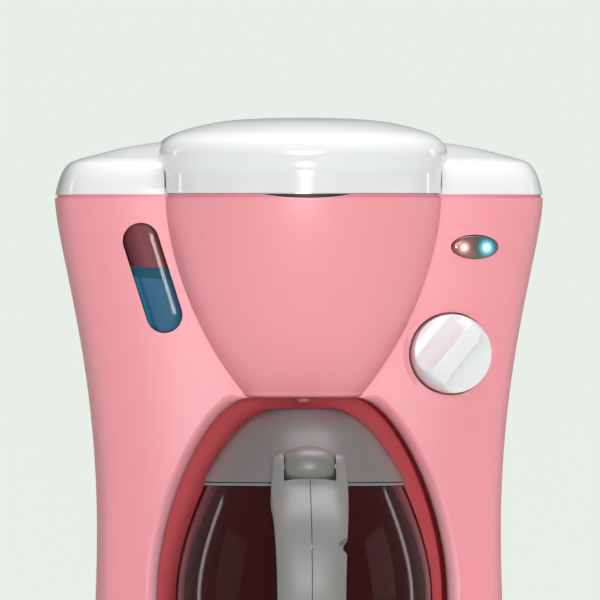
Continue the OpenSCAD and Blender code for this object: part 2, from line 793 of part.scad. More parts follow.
module lid() {
    bump_r = 30;
    front = lid_root + bulge_w / 2 * bulge_swell;
    color(white) {
        difference() {
            union() {
                cup(
                    [for (l = lid_levels) lid_ring(l, 0, 0)],
                    [for (l = lid_levels) lid_ring(l, skirt_t, l[2] < 1 ? 2 : l[0] > top_z + 16 ? 1 : 0)]
                );
                // The thumb lip at the front.
                intersection() {
                    ahead(0, front + 2 - bump_r, top_z + 0.3) sphere(r = bump_r, $fn = 96);
                    ahead(-20, front + 10, top_z + 0.3) cube([40, 12, 16]);
                }
                for (side = [-1, 1])
                    ahead(side > 0 ? lid_ears[0] : -lid_ears[1], hinge_ahead, hinge_z) rotate([0, 90, 0]) {
                        cylinder(r = knuckle_r, h = lid_ears[1] - lid_ears[0]);
                        translate([-knuckle_r, -knuckle_r - 1.8, 0])
                            cube([knuckle_r + 1.6, knuckle_r + 1.8, lid_ears[1] - lid_ears[0]]);
                    }
            }
            ahead(-60, lid_root + 0.1, top_z - 10) cube([120, 100, 10 + wall + fit]);
            for (side = [-1, 1])
                ahead(side > 0 ? 20 : -40, hinge_ahead, hinge_z) rotate([0, 90, 0])
                    cylinder(r = hinge_pin_r + 0.08, h = 20);
        }
    }
}

module lid_hinge_pins() {
    color(steel)
    for (side = [-1, 1])
        ahead(side > 0 ? cover_ears[0][0] - 0.6 : -cover_ears[1][1] - 0.6, hinge_ahead, hinge_z)
            rotate([0, 90, 0]) cylinder(r = hinge_pin_r, h = cover_ears[1][1] - cover_ears[0][0] + 1.2);
}

// ---------- screws ----------
// A cross-headed screw whose shaft points along +Z from the underside of its head.
module screw(shaft) {
    difference() {
        union() {
            translate([0, 0, -head_h]) cylinder(r = head_r, h = head_h);
            cylinder(r = screw_r - 0.05, h = shaft);
        }
        for (a = [0, 90]) rotate([0, 0, a]) translate([-1.8, -0.35, -head_h - 1]) cube([3.6, 0.7, 2.2]);
    }
}

module rear_screws() {
    color(steel)
    for (b = shell_boss) for (side = [-1, 1])
        ahead(side * b[0], -screw_seat, b[1]) rotate([90, 0, 0]) screw(screw_seat + 9);
}

module bottom_screws() {
    color(steel)
    for (p = foot_posts) for (side = [-1, 1]) ahead(side * p[0], p[1], 6.5) screw(deck_z + 6);
}

// ---------- water system ----------
tank_side = [10 - top_w / 2, window_foot[0] + 13.2];
tank_ahead = [15, 40];
tank_foot = 150;
tank_wall = 1.6;

module tank(grow) {
    intersection() {
        inner_body(wall + fit + grow, tank_foot - 2, top_z + 1, 12);
        ahead(tank_side[0], tank_ahead[1], tank_foot + grow)
            cube([tank_side[1] - tank_side[0] - grow, tank_ahead[1] - tank_ahead[0] - grow,
                top_z - tank_foot - 2 * grow]);
    }
}

module water_tank() {
    color("lightcyan", 0.5)
    difference() {
        tank(0);
        tank(tank_wall);
        ahead(fill_spot[0], fill_spot[1], top_z - 5) cylinder(r = 3.9, h = 10);
    }
}

module water() {
    color("deepskyblue", 0.6)
    intersection() {
        tank(tank_wall);
        ahead(-100, 60, tank_foot) cube([100, 60, water_z - tank_foot]);
    }
}

module water_window() {
    color("darkred", 0.7)
    intersection() {
        difference() {
            inner_body(0.5, 150, 207, 12);
            inner_body(wall, 149, 208, 12);
        }
        along_y(60, 20) slot(window_r - 0.15);
    }
}

module filter_basket() {
    foot = 150;
    t = 1.6;
    color(dark)
    ahead(0, nozzle_ahead, 0) {
        rotate_extrude() polygon([
            [basket_r + basket_lip, deck_top + 1.6], [basket_r + basket_lip, deck_top], [basket_r, deck_top],
            [basket_r, 203], [15, foot], [3.8, foot - 3], [3.8, foot - 8], [2.4, foot - 8], [2.4, foot - 1.4],
            [14, foot + t], [basket_r - t, 203.3], [basket_r - t, deck_top + 1.6]
        ]);
        for (a = [0:60:300]) rotate([0, 0, a]) translate([7, -0.6, foot - 2]) cube([7.5, 1.2, 9]);
    }
}

module drip_nozzle() {
    color(pink)
    ahead(0, nozzle_ahead, 0) rotate_extrude() polygon([
        [1.3, bulge_floor - 1.8], [2, bulge_floor - 1.8], [2.6, bulge_floor - 0.4], [nozzle_r - 0.1, bulge_floor],
        [nozzle_r - 0.1, bulge_floor + wall], [7, bulge_floor + wall], [7, bulge_floor + wall + 1.4],
        [5.6, bulge_floor + wall + 1.4], [5.6, 146], [4, 146], [4, 141], [1.3, 139]
    ]);
}

pump_spot = [10.4 - waist_w / 2, -2];
module pump() {
    color(white)
    ahead(pump_spot[0], pump_spot[1], deck_z) {
        cylinder(r = 6.4, h = 15);
        cylinder(r = 4, h = 24);
    }
}

tube_r_out = 1.7;
tube_x = pump_spot[0] + 4.4;
module inlet_tube() {
    color("ghostwhite")
    rod_path(tube_r_out, [
        [tube_x, 2, deck_z + 15], [tube_x, 2, 144], [tube_x, 26, 144], [tube_x, 26, tank_foot]
    ]);
}

module outlet_tube() {
    color("ghostwhite")
    rod_path(tube_r_out, [
        [tube_x, -6, deck_z + 15], [tube_x, -6, 203], [0, -6, 203], [0, spout_ahead, 203],
        [0, spout_ahead, deck_top]
    ]);
}

module water_spout() {
    color(white) {
        ahead(0, spout_ahead, deck_top) cylinder(r = 4, h = 1.4);
        rod_path(2.2, [
            [0, spout_ahead, deck_top + 1.4], [0, spout_ahead, deck_top + 6], [0, 24, deck_top + 6],
            [0, 24, deck_top + 2.4]
        ]);
    }
}

// ---------- controls ----------
blade_w = 6.6;
blade_h = 7;
blade_point = 31;
blade_angle = -40;
knob_foot = -7.2;
knob_rim = 4.4;

module knob() {
    span = knob_r - blade_w / 2;
    scoop_r = (pow(span, 2) + pow(blade_h, 2)) / (2 * blade_h);
    color(white)
    on_panel() rotate([0, 0, blade_angle]) difference() {
        rotate_extrude($fn = 72) polygon([
            [0, knob_foot], [knob_r, knob_foot], [knob_r, knob_rim - 1], [knob_r - 0.3, knob_rim + 1.4],
            [knob_r - 1.2, knob_rim + 3.6], [knob_r - 3, knob_rim + 5.6], [knob_r - 6.2, knob_rim + 6.8],
            [0, knob_rim + blade_h + 0.5]
        ]);
        // A scoop on each side leaves the blade, and one more each brings its end to a point.
        for (side = [0, 1]) mirror([side, 0, 0]) {
            translate([knob_r, 0, knob_rim + scoop_r])
                rotate([90, 0, 0]) cylinder(r = scoop_r, h = 60, center = true);
            translate([blade_w / 2, knob_r - 6, knob_rim + scoop_r]) rotate([0, 0, blade_point])
                translate([span, 0, 0]) rotate([90, 0, 0]) cylinder(r = scoop_r, h = 60, center = true);
        }
        translate([0, 0, knob_foot - 1]) cylinder(r = shaft_r + 0.02, h = -knob_foot);
    }
}

module knob_shaft() {
    color(steel)
    on_panel() translate([0, 0, -17.3]) cylinder(r = shaft_r, h = 15.9);
}

board_z = -20.2;
board_t = 1.6;
switch_r = 8;
board_posts = [[15, 22], [-8, 22]];

module rotary_switch() {
    color(dark)
    on_panel() difference() {
        translate([0, 0, board_z + board_t]) cylinder(r = switch_r, h = 7.6);
        translate([0, 0, -17.7]) cylinder(r = shaft_r + 0.08, h = 10);
    }
}

module circuit_board() {
    color("seagreen")
    on_panel() difference() {
        translate([-12, -11, board_z]) cube([31, 58, board_t]);
        for (p = board_posts) translate([p[0], p[1], board_z - 1]) cylinder(r = 1.1, h = 5);
    }
}

// Posts that carry the circuit board behind the front shell.
module board_post() {
    on_panel() for (p = board_posts) translate([p[0], p[1], 0]) {
        translate([0, 0, board_z + board_t]) cylinder(r = 2.2, h = -board_z - board_t - 1);
        translate([0, 0, board_z - 0.8]) cylinder(r = 1.05, h = 4);
    }
}

// How far the face stands out from the panel's plane at the pilot lights.
lamp_x = knob_x + lamp_dx * cos(panel_tilt);
lamp_out = face(lamp_x, lamp_z) - face(knob_x, knob_z) + lamp_dx * sin(panel_tilt);

module light_lens() {
    color("darksalmon", 0.8)
    on_panel(lamp_dx, lamp_dz) {
        translate([0, 0, lamp_out - wall - 1.6]) linear_extrude(wall + 2.3) oval(0);
        translate([0, 0, lamp_out - wall - 2.6]) linear_extrude(1.2) oval(1.5);
    }
}

module pilot(side) {
    on_panel(lamp_dx + side * lamp_pitch / 2, lamp_dz) {
        translate([0, 0, lamp_out - wall - 9]) cylinder(r = 2.4, h = 4);
        translate([0, 0, lamp_out - wall - 5]) sphere(r = 2.4);
        for (leg = [-1.27, 1.27])
            translate([leg, 0, board_z + board_t])
                cylinder(r = 0.4, h = lamp_out - wall - 8 - board_z - board_t, $fn = 16);
    }
}

module red_light() {
    color("red") pilot(-1);
}

module blue_light() {
    color("deepskyblue") pilot(1);
}

// ---------- power ----------
module cells() {
    for (i = [0:cell_count - 1])
        ahead(0, bat_ahead + (i - (cell_count - 1) / 2) * cell_pitch, cell_z)
            rotate([0, 0, i % 2 * 180]) children();
}

module battery_box() {
    color(dark)
    difference() {
        ahead(0, bat_ahead, (box_foot + deck_z - deck_t) / 2)
            cube([bat_w + 2 * bat_wall, bat_d + 2 * bat_wall, deck_z - deck_t - box_foot], center = true);
        ahead(0, bat_ahead, box_foot - 1 + (box_top - box_foot + 1) / 2)
            cube([bat_w, bat_d, box_top - box_foot + 1], center = true);
    }
}

module batteries() {
    color("goldenrod")
    cells() rotate([0, 90, 0]) {
        translate([0, 0, -cell_l / 2]) cylinder(r = cell_r, h = cell_l);
        cylinder(r = 2.7, h = cell_l / 2 + 1);
    }
}

module battery_contacts() {
    color(steel)
    cells() {
        translate([bat_w / 2 - 0.5, -5.5, -6]) cube([0.5, 11, 12]);
        translate([cell_l / 2 + 1, 0, 0]) rotate([0, 90, 0]) cylinder(r = 2.4, h = bat_w / 2 - cell_l / 2 - 1);
        translate([-bat_w / 2, -5.5, -6]) cube([0.5, 11, 12]);
        translate([-bat_w / 2, 0, 0]) rotate([0, 90, 0]) cylinder(r1 = 4.4, r2 = 3, h = bat_w / 2 - cell_l / 2);
    }
}

module battery_door() {
    color(dark)
    difference() {
        union() {
            ahead(0, bat_ahead, (floor_z + 0.4 + plate_top) / 2)
                cube([door_w, door_d, plate_top - floor_z - 0.4], center = true);
            ahead(door_w / 2 - 2, bat_ahead + 6, floor_z + 0.4) cube([11.7, 12, 1]);
            for (i = [-1, 1]) ahead(-20, bat_ahead + i * 12, plate_top - 0.2) cube([40, 1.2, 1.2]);
        }
        ahead(door_screw_x, bat_ahead, 0) cylinder(r = 1.2, h = 10);
    }
}

module battery_door_screw() {
    color(steel)
    ahead(door_screw_x, bat_ahead, floor_z + 0.4) difference() {
        union() {
            cylinder(r = 1.15, h = 5.6);
            translate([0, 0, -1.4]) cylinder(r = 2.4, h = 1.4);
        }
        for (a = [0, 90]) rotate([0, 0, a]) translate([-1.5, -0.3, -2]) cube([3, 0.6, 1.2]);
    }
}

module speaker() {
    color("black")
    ahead(0, speaker_ahead, plate_top) {
        cylinder(r = speaker_r, h = 1.2);
        cylinder(r1 = 13, r2 = 9, h = 4);
        cylinder(r = 8, h = 8);
    }
}

loom_x = knob_x + 5.1;
loom_ahead = -6;
module wire_loom() {
    color("crimson")
    rod_path(1, [
        [20, bat_ahead - bat_d / 2 - bat_wall, cell_z], [20, loom_ahead, cell_z],
        [loom_x, loom_ahead, cell_z], [loom_x, loom_ahead, 150], [loom_x, 17.6, 150]
    ]);
}

// ---------- carafe ----------
// Radii are measured from the carafe's axis, and the handle points forward.
jug_foot = deck_z + plate_rise + fit;
belly_z = 60;
jug_low = [[33.5, jug_foot], [43, jug_foot + 0.4], [carafe_r, 45], [carafe_r, belly_z]];
jug_high = [[carafe_r, belly_z], [carafe_r, 74], [43, 88], [mouth_r, mouth_z]];
jug_line = concat(curve(jug_low, 10), [for (i = [1:12]) bez(jug_high, i / 12)]);
collar_t = 0.9;
collar_r = mouth_r - glass_t - 1.6;
lid_foot = mouth_z + collar_t + 0.3;
hinge_r = 48;
lever_z = 109;
lever_r = 7.6;
lever_gap = 0.35;
prong_r = 6;
prong_h = 5;
arm_w = 12;

module at_carafe() {
    ahead(0, carafe_ahead, 0) children();
}

// Turns an outline drawn in radius and height into a slab across the handle's middle plane.
module side_slab(w) {
    translate([w / 2, 0, 0]) rotate([90, 0, -90]) linear_extrude(w) children();
}

module jug_body(grow) {
    rotate_extrude($fn = 72) polygon(concat(
        [[0, jug_line[0][1] - grow]],
        [for (p = jug_line) [p[0] + grow, p == jug_line[0] ? p[1] - grow : p[1]]],
        [[mouth_r + grow, mouth_z + 5], [0, mouth_z + 5]]
    ));
}

// The pouring spout: a leaning funnel at the back of the mouth.
module spout_cone(grow) {
    low = [33, 72];
    high = [22, mouth_z];
    lean = atan2(low[0] - high[0], high[1] - low[1]);
    h = norm(high - low) + 8;
    translate([0, low[0], low[1]]) rotate([lean, 0, 0])
        cylinder(r1 = 7 + grow, r2 = 7 + grow + 13.5 * h / norm(high - low), h = h, $fn = 72);
}

module jug_hollow() {
    rotate_extrude($fn = 72) polygon(concat(
        [[0, jug_foot + glass_t]],
        [for (p = jug_line) [p[0] - glass_t, p[1] + (p[1] < 40 ? glass_t * (40 - p[1]) / (40 - jug_foot) : 0)]],
        [[mouth_r - glass_t, mouth_z + 9], [0, mouth_z + 9]]
    ));
}

// The jug is welded from two mouldings at its belly: this bell and the bowl under it.
module carafe_jug() {
    color("darkred", 0.6)
    at_carafe() difference() {
        union() {
            jug_body(0);
            spout_cone(0);
        }
        jug_hollow();
        cylinder(r = carafe_r + 5, h = belly_z);
        translate([0, 0, belly_z - 1]) cylinder(r = carafe_r - glass_t / 2 + 0.05, h = 2.6);
        intersection() {
            spout_cone(-glass_t);
            translate([-30, 0, 60]) cube([60, 60, 60]);
        }
        translate([-60, -60, mouth_z]) cube([120, 120, 20]);
    }
}

module carafe_bowl() {
    color("darkred", 0.6)
    at_carafe() {
        difference() {
            jug_body(0);
            jug_hollow();
            translate([0, 0, belly_z]) cylinder(r = carafe_r + 5, h = 60);
        }
        // The tongue that the bell fits over.
        translate([0, 0, belly_z - 2]) difference() {
            cylinder(r = carafe_r - glass_t / 2, h = 3.5);
            translate([0, 0, -1]) cylinder(r = carafe_r - glass_t, h = 6);
        }
    }
}

module carafe_collar() {
    color(grey)
    at_carafe() difference() {
        union() {
            translate([0, 0, mouth_z]) cylinder(r = mouth_r + 0.4, h = collar_t);
            translate([0, 0, mouth_z - 4]) cylinder(r = mouth_r - glass_t, h = 5);
            translate([-arm_w / 2, -41.2, mouth_z - 9]) cube([arm_w, 8, 9 + collar_t]);
            translate([-arm_w / 2, -50, mouth_z - 9]) cube([arm_w, 12, 6.4]);
        }
        translate([0, 0, mouth_z - 20]) cylinder(r = collar_r, h = 40);
        difference() {
            jug_body(0.1);
            translate([0, 0, mouth_z]) cylinder(r = 60, h = 20);
            translate([0, 0, mouth_z - 4]) cylinder(r = mouth_r - glass_t, h = 30);
        }
        intersection() {
            spout_cone(-glass_t);
            translate([-30, 15, 60]) cube([60, 60, 60]);
        }
    }
}

grip_in = handle_reach - grip_t;
// The handle's front and inner lines in radius and height, from its foot up to the prongs.
foot_front = [[55, 38.4], [66, 39.5], [handle_reach, 50], [handle_reach, 66]];
foot_inner = [[53, 40.8], [57, 43], [grip_in, 52], [grip_in, 66]];
neck_front = [[handle_reach, 66], [handle_reach, 80], [handle_reach - 4.5, 90], [60, 98]];
neck_inner = [[grip_in, 66], [grip_in, 80], [grip_in + 0.5, 91], [43, 90.5]];
root_front = [[60, 98], [56.5, 101.3], [54.4, 103], [hinge_r + prong_r, lever_z]];
root_inner = [[43, 90.5], [41.6, 95], [41.8, 102], [hinge_r - prong_r, lever_z]];
// The share of the full width at the ends of each stretch.
foot_share = [[0.66, 0], [0.86, 0], [0.88, 0], [0.89, 0]];
neck_share = [[0.89, 0], [0.91, 0], [0.96, 0], [1, 0]];
root_share = [[1, 0], [1.01, 0], [1, 0], [0.95, 0]];

// Sections of the handle: front point, inner point and share of the width.
handle_sections = concat(
    [for (t = [0:0.16:0.9]) [bez(foot_front, t), bez(foot_inner, t), bez(foot_share, t)[0]]],
    [for (t = [0:0.16:0.9]) [bez(neck_front, t), bez(neck_inner, t), bez(neck_share, t)[0]]],
    [for (t = [0:0.25:1]) [bez(root_front, t), bez(root_inner, t), bez(root_share, t)[0]]],
    [for (a = [22:22:66]) [
        [hinge_r + prong_r * cos(a), lever_z + prong_h * sin(a)],
        [hinge_r - prong_r * cos(a), lever_z + prong_h * sin(a)],
        0.95 - 0.2 * pow(sin(a), 2)
    ]]
);

function handle_ring(s) =
    let (mid = (s[0] + s[1]) / 2, half = (s[0] - s[1]) / 2)
    [for (t = [0:18:342])
        let (c = t % 180 == 90 ? 0 : cos(t), q = t % 180 == 0 ? 0 : sign(sin(t)) * pow(abs(sin(t)), 0.7))
        [handle_w / 2 * s[2] * sign(c) * pow(abs(c), 0.7), -mid[0] - half[0] * q, mid[1] + half[1] * q]];

handle_holes = [[handle_reach - grip_t / 2 - 1, 80], [handle_reach - grip_t / 2 - 0.6, 58]];
pin_half = handle_w / 2 - 2;

module handle_shape() {
    slot_w = lever_w + 2 * lever_gap;
    difference() {
        loft([for (s = handle_sections) handle_ring(s)]);
        side_slab(slot_w) translate([hinge_r, lever_z]) circle(r = lever_r + lever_gap);
        side_slab(slot_w) translate([hinge_r - 14, mouth_z - 2.4]) square([14, 30]);
        side_slab(arm_w + 0.1) translate([36, mouth_z - 9.05]) square([14.05, 6.7]);
        side_slab(2 * pin_half + 0.2) translate([hinge_r, lever_z]) circle(r = hinge_pin_r + 0.02);
        jug_body(0.1);
    }
}

module handle_left() {
    color(grey)
    at_carafe() difference() {
        handle_shape();
        translate([0, -100, 0]) cube([50, 100, 200]);
        for (p = handle_holes) translate([1, -p[0], p[1]]) rotate([0, -90, 0]) cylinder(r = screw_r, h = 11);
    }
}

module handle_right() {
    color(grey)
    at_carafe() difference() {
        handle_shape();
        translate([-50, -100, 0]) cube([50, 100, 200]);
        for (p = handle_holes) translate([-1, -p[0], p[1]]) rotate([0, 90, 0]) {
            cylinder(r = screw_r + 0.2, h = 30);
            translate([0, 0, 7]) cylinder(r = head_r + 0.3, h = 30);
        }
    }
}

module handle_screws() {
    color(steel)
    at_carafe()
    for (p = handle_holes) translate([6, -p[0], p[1]]) rotate([0, -90, 0]) screw(14);
}

module carafe_hinge_pin() {
    color(steel)
    at_carafe() translate([-pin_half, -hinge_r, lever_z])
        rotate([0, 90, 0]) cylinder(r = hinge_pin_r, h = 2 * pin_half);
}

dome_line = concat(
    [[mouth_r + 0.4, lid_foot]],
    curve([[mouth_r + 0.3, lid_foot + 0.8], [32.8, lid_foot + 7.6], [26.4, dome_z - 6.2], [15.2, dome_z - 1]], 12),
    [[14, dome_z - 0.4], [12.6, dome_z]]
);
dome_hollow = curve(
    [[mouth_r - 2.2, lid_foot + 2.4], [30.8, lid_foot + 8], [24.9, dome_z - 8.2], [14.2, dome_z - 3]], 10
);
drip_r = 4;

module carafe_lid() {
    t = 2;
    color(grey)
    at_carafe() difference() {
        union() {
            rotate_extrude($fn = 72) polygon(concat(dome_line, [[0, dome_z], [0, lid_foot]]));
            translate([0, 0, lid_foot - 3.4]) cylinder(r = collar_r - 0.6, h = 5);
            // The thumb lever on its hinge.
            translate([0, -hinge_r, lever_z]) rotate([0, 90, 0]) rotate_extrude() polygon(concat(
                [[0, -lever_w / 2]],
                [for (i = [-6:6]) let (x = i * lever_w / 12) [lever_r * sqrt(1 - pow(x / 14, 2)), x]],
                [[0, lever_w / 2]]
            ));
            intersection() {
                side_slab(lever_w) polygon([
                    [26, lid_foot + 1], [26, 117], [33, 115.2], [38, 114.8], [43, 115.2],
                    [hinge_r - 1.4, lever_z + lever_r - 0.2], [hinge_r, lever_z - 2], [42, lid_foot + 1]
                ]);
                translate([0, -20, 0]) rotate([90, 0, 0]) linear_extrude(40) polygon([
                    [-lever_w / 2, 100], [lever_w / 2, 100], [lever_w / 2, 112.4], [0.44 * lever_w, 113.7],
                    [0.3 * lever_w, 115.1], [0.12 * lever_w, 116.2], [-0.12 * lever_w, 116.2],
                    [-0.3 * lever_w, 115.1], [-0.44 * lever_w, 113.7], [-lever_w / 2, 112.4]
                ]);
            }
        }
        rotate_extrude($fn = 72) polygon(concat(
            [[collar_r - 2.2, lid_foot - 10], [collar_r - 2.2, lid_foot + 1.6]],
            dome_hollow,
            [[11.8, dome_z - t], [0, dome_z - t], [0, lid_foot - 10]]
        ));
        cylinder(r = drip_r, h = 200);
        side_slab(60) translate([hinge_r, lever_z]) circle(r = hinge_pin_r + 0.08);
    }
}

front_shell();
rear_shell();
base();
bottom_plate();
rubber_feet();
bay_liner();
nozzle_plate();
warming_plate();
top_cover();
top_deck();
lid();
lid_hinge_pins();
rear_screws();
bottom_screws();
water_tank();
water();
water_window();
filter_basket();
drip_nozzle();
pump();
inlet_tube();
outlet_tube();
water_spout();
knob();
knob_shaft();
rotary_switch();
circuit_board();
light_lens();
red_light();
blue_light();
battery_box();
batteries();
battery_contacts();
battery_door();
battery_door_screw();
speaker();
wire_loom();
carafe_jug();
carafe_bowl();
carafe_collar();
handle_left();
handle_right();
handle_screws();
carafe_lid();
carafe_hinge_pin();
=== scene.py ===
import json
import math

import bmesh
import bpy
from mathutils import Matrix, Vector

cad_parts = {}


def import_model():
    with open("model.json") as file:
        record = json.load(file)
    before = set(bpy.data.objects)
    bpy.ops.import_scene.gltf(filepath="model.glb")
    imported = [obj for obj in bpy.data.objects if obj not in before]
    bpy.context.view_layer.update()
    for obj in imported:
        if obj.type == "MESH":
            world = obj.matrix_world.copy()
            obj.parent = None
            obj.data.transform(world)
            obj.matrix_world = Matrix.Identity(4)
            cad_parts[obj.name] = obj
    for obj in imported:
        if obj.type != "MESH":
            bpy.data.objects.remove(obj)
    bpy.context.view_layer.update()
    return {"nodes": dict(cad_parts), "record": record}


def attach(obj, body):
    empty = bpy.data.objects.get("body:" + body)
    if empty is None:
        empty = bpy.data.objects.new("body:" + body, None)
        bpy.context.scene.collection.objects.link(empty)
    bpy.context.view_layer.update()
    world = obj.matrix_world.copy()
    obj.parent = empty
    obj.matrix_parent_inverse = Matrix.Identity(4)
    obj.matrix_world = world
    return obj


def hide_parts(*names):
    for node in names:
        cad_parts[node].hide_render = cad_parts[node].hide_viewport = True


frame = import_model()

# ---------- sizes, in millimetres, as in the part's source ----------
TOP_W, WAIST_W, FOOT_W = 180.0, 148.8, 160.0
TOP_D, WAIST_D, WAIST_Z = 85.0, 80.0, 85.0
BODY_TOP, LIP, LIP_INSET, PLAN_POWER, WALL, FIT = 208.0, 1.2, 0.8, 5.0, 2.2, 0.3
TOP_Z = BODY_TOP + LIP
BULGE_W, BULGE_FOOT_W, SWELL = 101.6, 38.4, 0.71
BAY_TOP, BAY_W, DECK_Z = 134.3, 107.0, 26.0
LID_TOP, LID_REAR, OVERHANG = 237.5, 31.0, 2.5
CARAFE_AHEAD, HANDLE_REACH = 45.5, 73.0
BODY_Y = (CARAFE_AHEAD + HANDLE_REACH - TOP_D / 2) / 2
KNOB_X, KNOB_Z, KNOB_R, TILT = 54.4, 150.4, 14.65, 9.5
LAMP_DX, LAMP_Z = 8.8, 189.8
WINDOW_TOP, WINDOW_FOOT, WINDOW_R = (-59.9, 192.0), (-51.2, 164.7), 6.7
MM = 0.001


def bez(p, t):
    u = 1 - t
    return tuple(u ** 3 * p[0][k] + 3 * t * u * u * p[1][k] + 3 * t * t * u * p[2][k] + t ** 3 * p[3][k]
                 for k in (0, 1))


def place(p, z):
    lo, hi = 0.0, 1.0
    for _ in range(40):
        mid = (lo + hi) / 2
        if (bez(p, mid)[1] > z) == (p[3][1] > p[0][1]):
            hi = mid
        else:
            lo = mid
    return (lo + hi) / 2


FLARE = [(0, WAIST_Z), (0, WAIST_Z + 65), (1, TOP_Z - 19), (1, TOP_Z)]
BULGE_EDGE = [(BULGE_FOOT_W / 2 + 2.8, BAY_TOP + 1.7), (BULGE_W / 2 * 0.75, BAY_TOP + 20.7),
              (BULGE_W / 2, TOP_Z - 24), (BULGE_W / 2, TOP_Z)]


def flare(z):
    return 0.0 if z <= WAIST_Z else 1.0 if z >= TOP_Z else bez(FLARE, place(FLARE, z))[0]


def spread(z):
    return ((WAIST_Z - z) / WAIST_Z) ** 2 if z < WAIST_Z else 0.0


def half_w(z):
    return (WAIST_W + (TOP_W - WAIST_W) * flare(z) + (FOOT_W - WAIST_W) * spread(z)) / 2


def half_d(z):
    return (WAIST_D + (TOP_D - WAIST_D) * (flare(z) + spread(z))) / 2


def face(x, z, inset=0.0):
    a = half_w(z) - inset
    return (half_d(z) - inset) * (1 - min(1.0, abs(x) / a) ** PLAN_POWER) ** (1 / PLAN_POWER)


def bulge_half(z):
    z0 = BULGE_EDGE[0][1]
    if z <= BAY_TOP:
        return BULGE_FOOT_W / 2
    if z < z0:
        return BULGE_FOOT_W / 2 + 2.8 * math.sqrt(1 - ((z0 - z) / (z0 - BAY_TOP)) ** 2)
    return bez(BULGE_EDGE, place(BULGE_EDGE, min(z, TOP_Z)))[0]


def arch_side(grow):
    return [(19, BAY_TOP + grow), (34 + grow / 2, BAY_TOP + grow),
            (BAY_W / 2 + grow, 95 + grow / 2), (BAY_W / 2 + grow, 60)]


# ---------- mesh helpers ----------
def world(x, ahead, z):
    return (x * MM, (BODY_Y - ahead) * MM, z * MM)


def shade(obj, angle=35.0):
    for p in obj.data.polygons:
        p.use_smooth = True
    obj.data.set_sharp_from_angle(angle=math.radians(angle))


def add_mesh(name, points, faces, angle=35.0):
    mesh = bpy.data.meshes.new(name)
    mesh.from_pydata(points, [], faces)
    mesh.validate()
    obj = bpy.data.objects.new(name, mesh)
    bpy.context.collection.objects.link(obj)
    bm = bmesh.new()
    bm.from_mesh(mesh)
    bmesh.ops.remove_doubles(bm, verts=bm.verts, dist=1e-6)
    bmesh.ops.recalc_face_normals(bm, faces=bm.faces)
    bm.to_mesh(mesh)
    bm.free()
    shade(obj, angle)
    return obj


def grid(rows, closed=False, cap_first=False, cap_last=False):
    m, n = len(rows), len(rows[0])
    points = [p for row in rows for p in row]
    faces = []
    for i in range(m - 1):
        for j in range(n if closed else n - 1):
            k = (j + 1) % n
            faces.append((i * n + j, i * n + k, (i + 1) * n + k, (i + 1) * n + j))
    if cap_first:
        faces.append(tuple(range(n))[::-1])
    if cap_last:
        faces.append(tuple((m - 1) * n + j for j in range(n)))
    return points, faces


def revolve(name, profile, at, steps=160, angle=35.0):
    """A solid of revolution about the Z axis through "at", from (radius, height) pairs in millimetres."""
    rows = []
    for r, z in profile:
        rows.append([(at[0] * MM + r * MM * math.cos(2 * math.pi * j / steps),
                      at[1] * MM + r * MM * math.sin(2 * math.pi * j / steps), z * MM) for j in range(steps)])
    points, faces = grid(rows, closed=True)
    return add_mesh(name, points, faces, angle)


def modify(obj):
    """Makes the modifiers part of the mesh."""
    deps = bpy.context.evaluated_depsgraph_get()
    mesh = bpy.data.meshes.new_from_object(obj.evaluated_get(deps))
    obj.modifiers.clear()
    obj.data = mesh
    return obj


def cut(obj, *tools, op="DIFFERENCE"):
    for t in tools:
        m = obj.modifiers.new("cut", "BOOLEAN")
        m.operation = op
        m.object = t
        m.solver = "EXACT"
    bpy.context.view_layer.update()
    modify(obj)
    for t in tools:
        bpy.data.objects.remove(t, do_unlink=True)
    return obj


def prism(name, outline, front, back):
    """An X-Z outline carried along Y between two distances ahead of the parting plane."""
    n = len(outline)
    points = [world(x, front, z) for x, z in outline] + [world(x, back, z) for x, z in outline]
    faces = [tuple(range(n)), tuple(range(2 * n - 1, n - 1, -1))]
    faces += [(i, n + i, n + (i + 1) % n, (i + 1) % n) for i in range(n)]
    return add_mesh(name, points, faces)


def bevel(obj, width, angle=30.0, segments=3):
    m = obj.modifiers.new("bevel", "BEVEL")
    m.width = width * MM
    m.segments = segments
    m.limit_method = "ANGLE"
    m.angle_limit = math.radians(angle)
    m.harden_normals = True
    m.use_clamp_overlap = True
    return obj


def cleaned(node, name):
    """A copy of a CAD node's mesh, with its flat faces joined."""
    src = frame["nodes"][node]
    mesh = src.data.copy()
    obj = bpy.data.objects.new(name, mesh)
    bpy.context.collection.objects.link(obj)
    if mesh.has_custom_normals:
        mesh.attributes.remove(mesh.attributes["custom_normal"])
    mesh.materials.clear()
    bm = bmesh.new()
    bm.from_mesh(mesh)
    bmesh.ops.remove_doubles(bm, verts=bm.verts, dist=2e-6)
    bmesh.ops.dissolve_limit(bm, angle_limit=math.radians(0.6), verts=bm.verts, edges=bm.edges)
    bm.to_mesh(mesh)
    bm.free()
    return obj


# ---------- materials ----------
def srgb(r, g, b):
    def lin(c):
        c /= 255.0
        return c / 12.92 if c <= 0.04045 else ((c + 0.055) / 1.055) ** 2.4
    return (lin(r), lin(g), lin(b), 1.0)


def material(name, colour, rough, **more):
    m = bpy.data.materials.new(name)
    m.use_nodes = True
    b = m.node_tree.nodes["Principled BSDF"]
    b.inputs["Base Color"].default_value = colour
    b.inputs["Roughness"].default_value = rough
    for key, value in more.items():
        b.inputs[key.replace("_", " ")].default_value = value
    return m


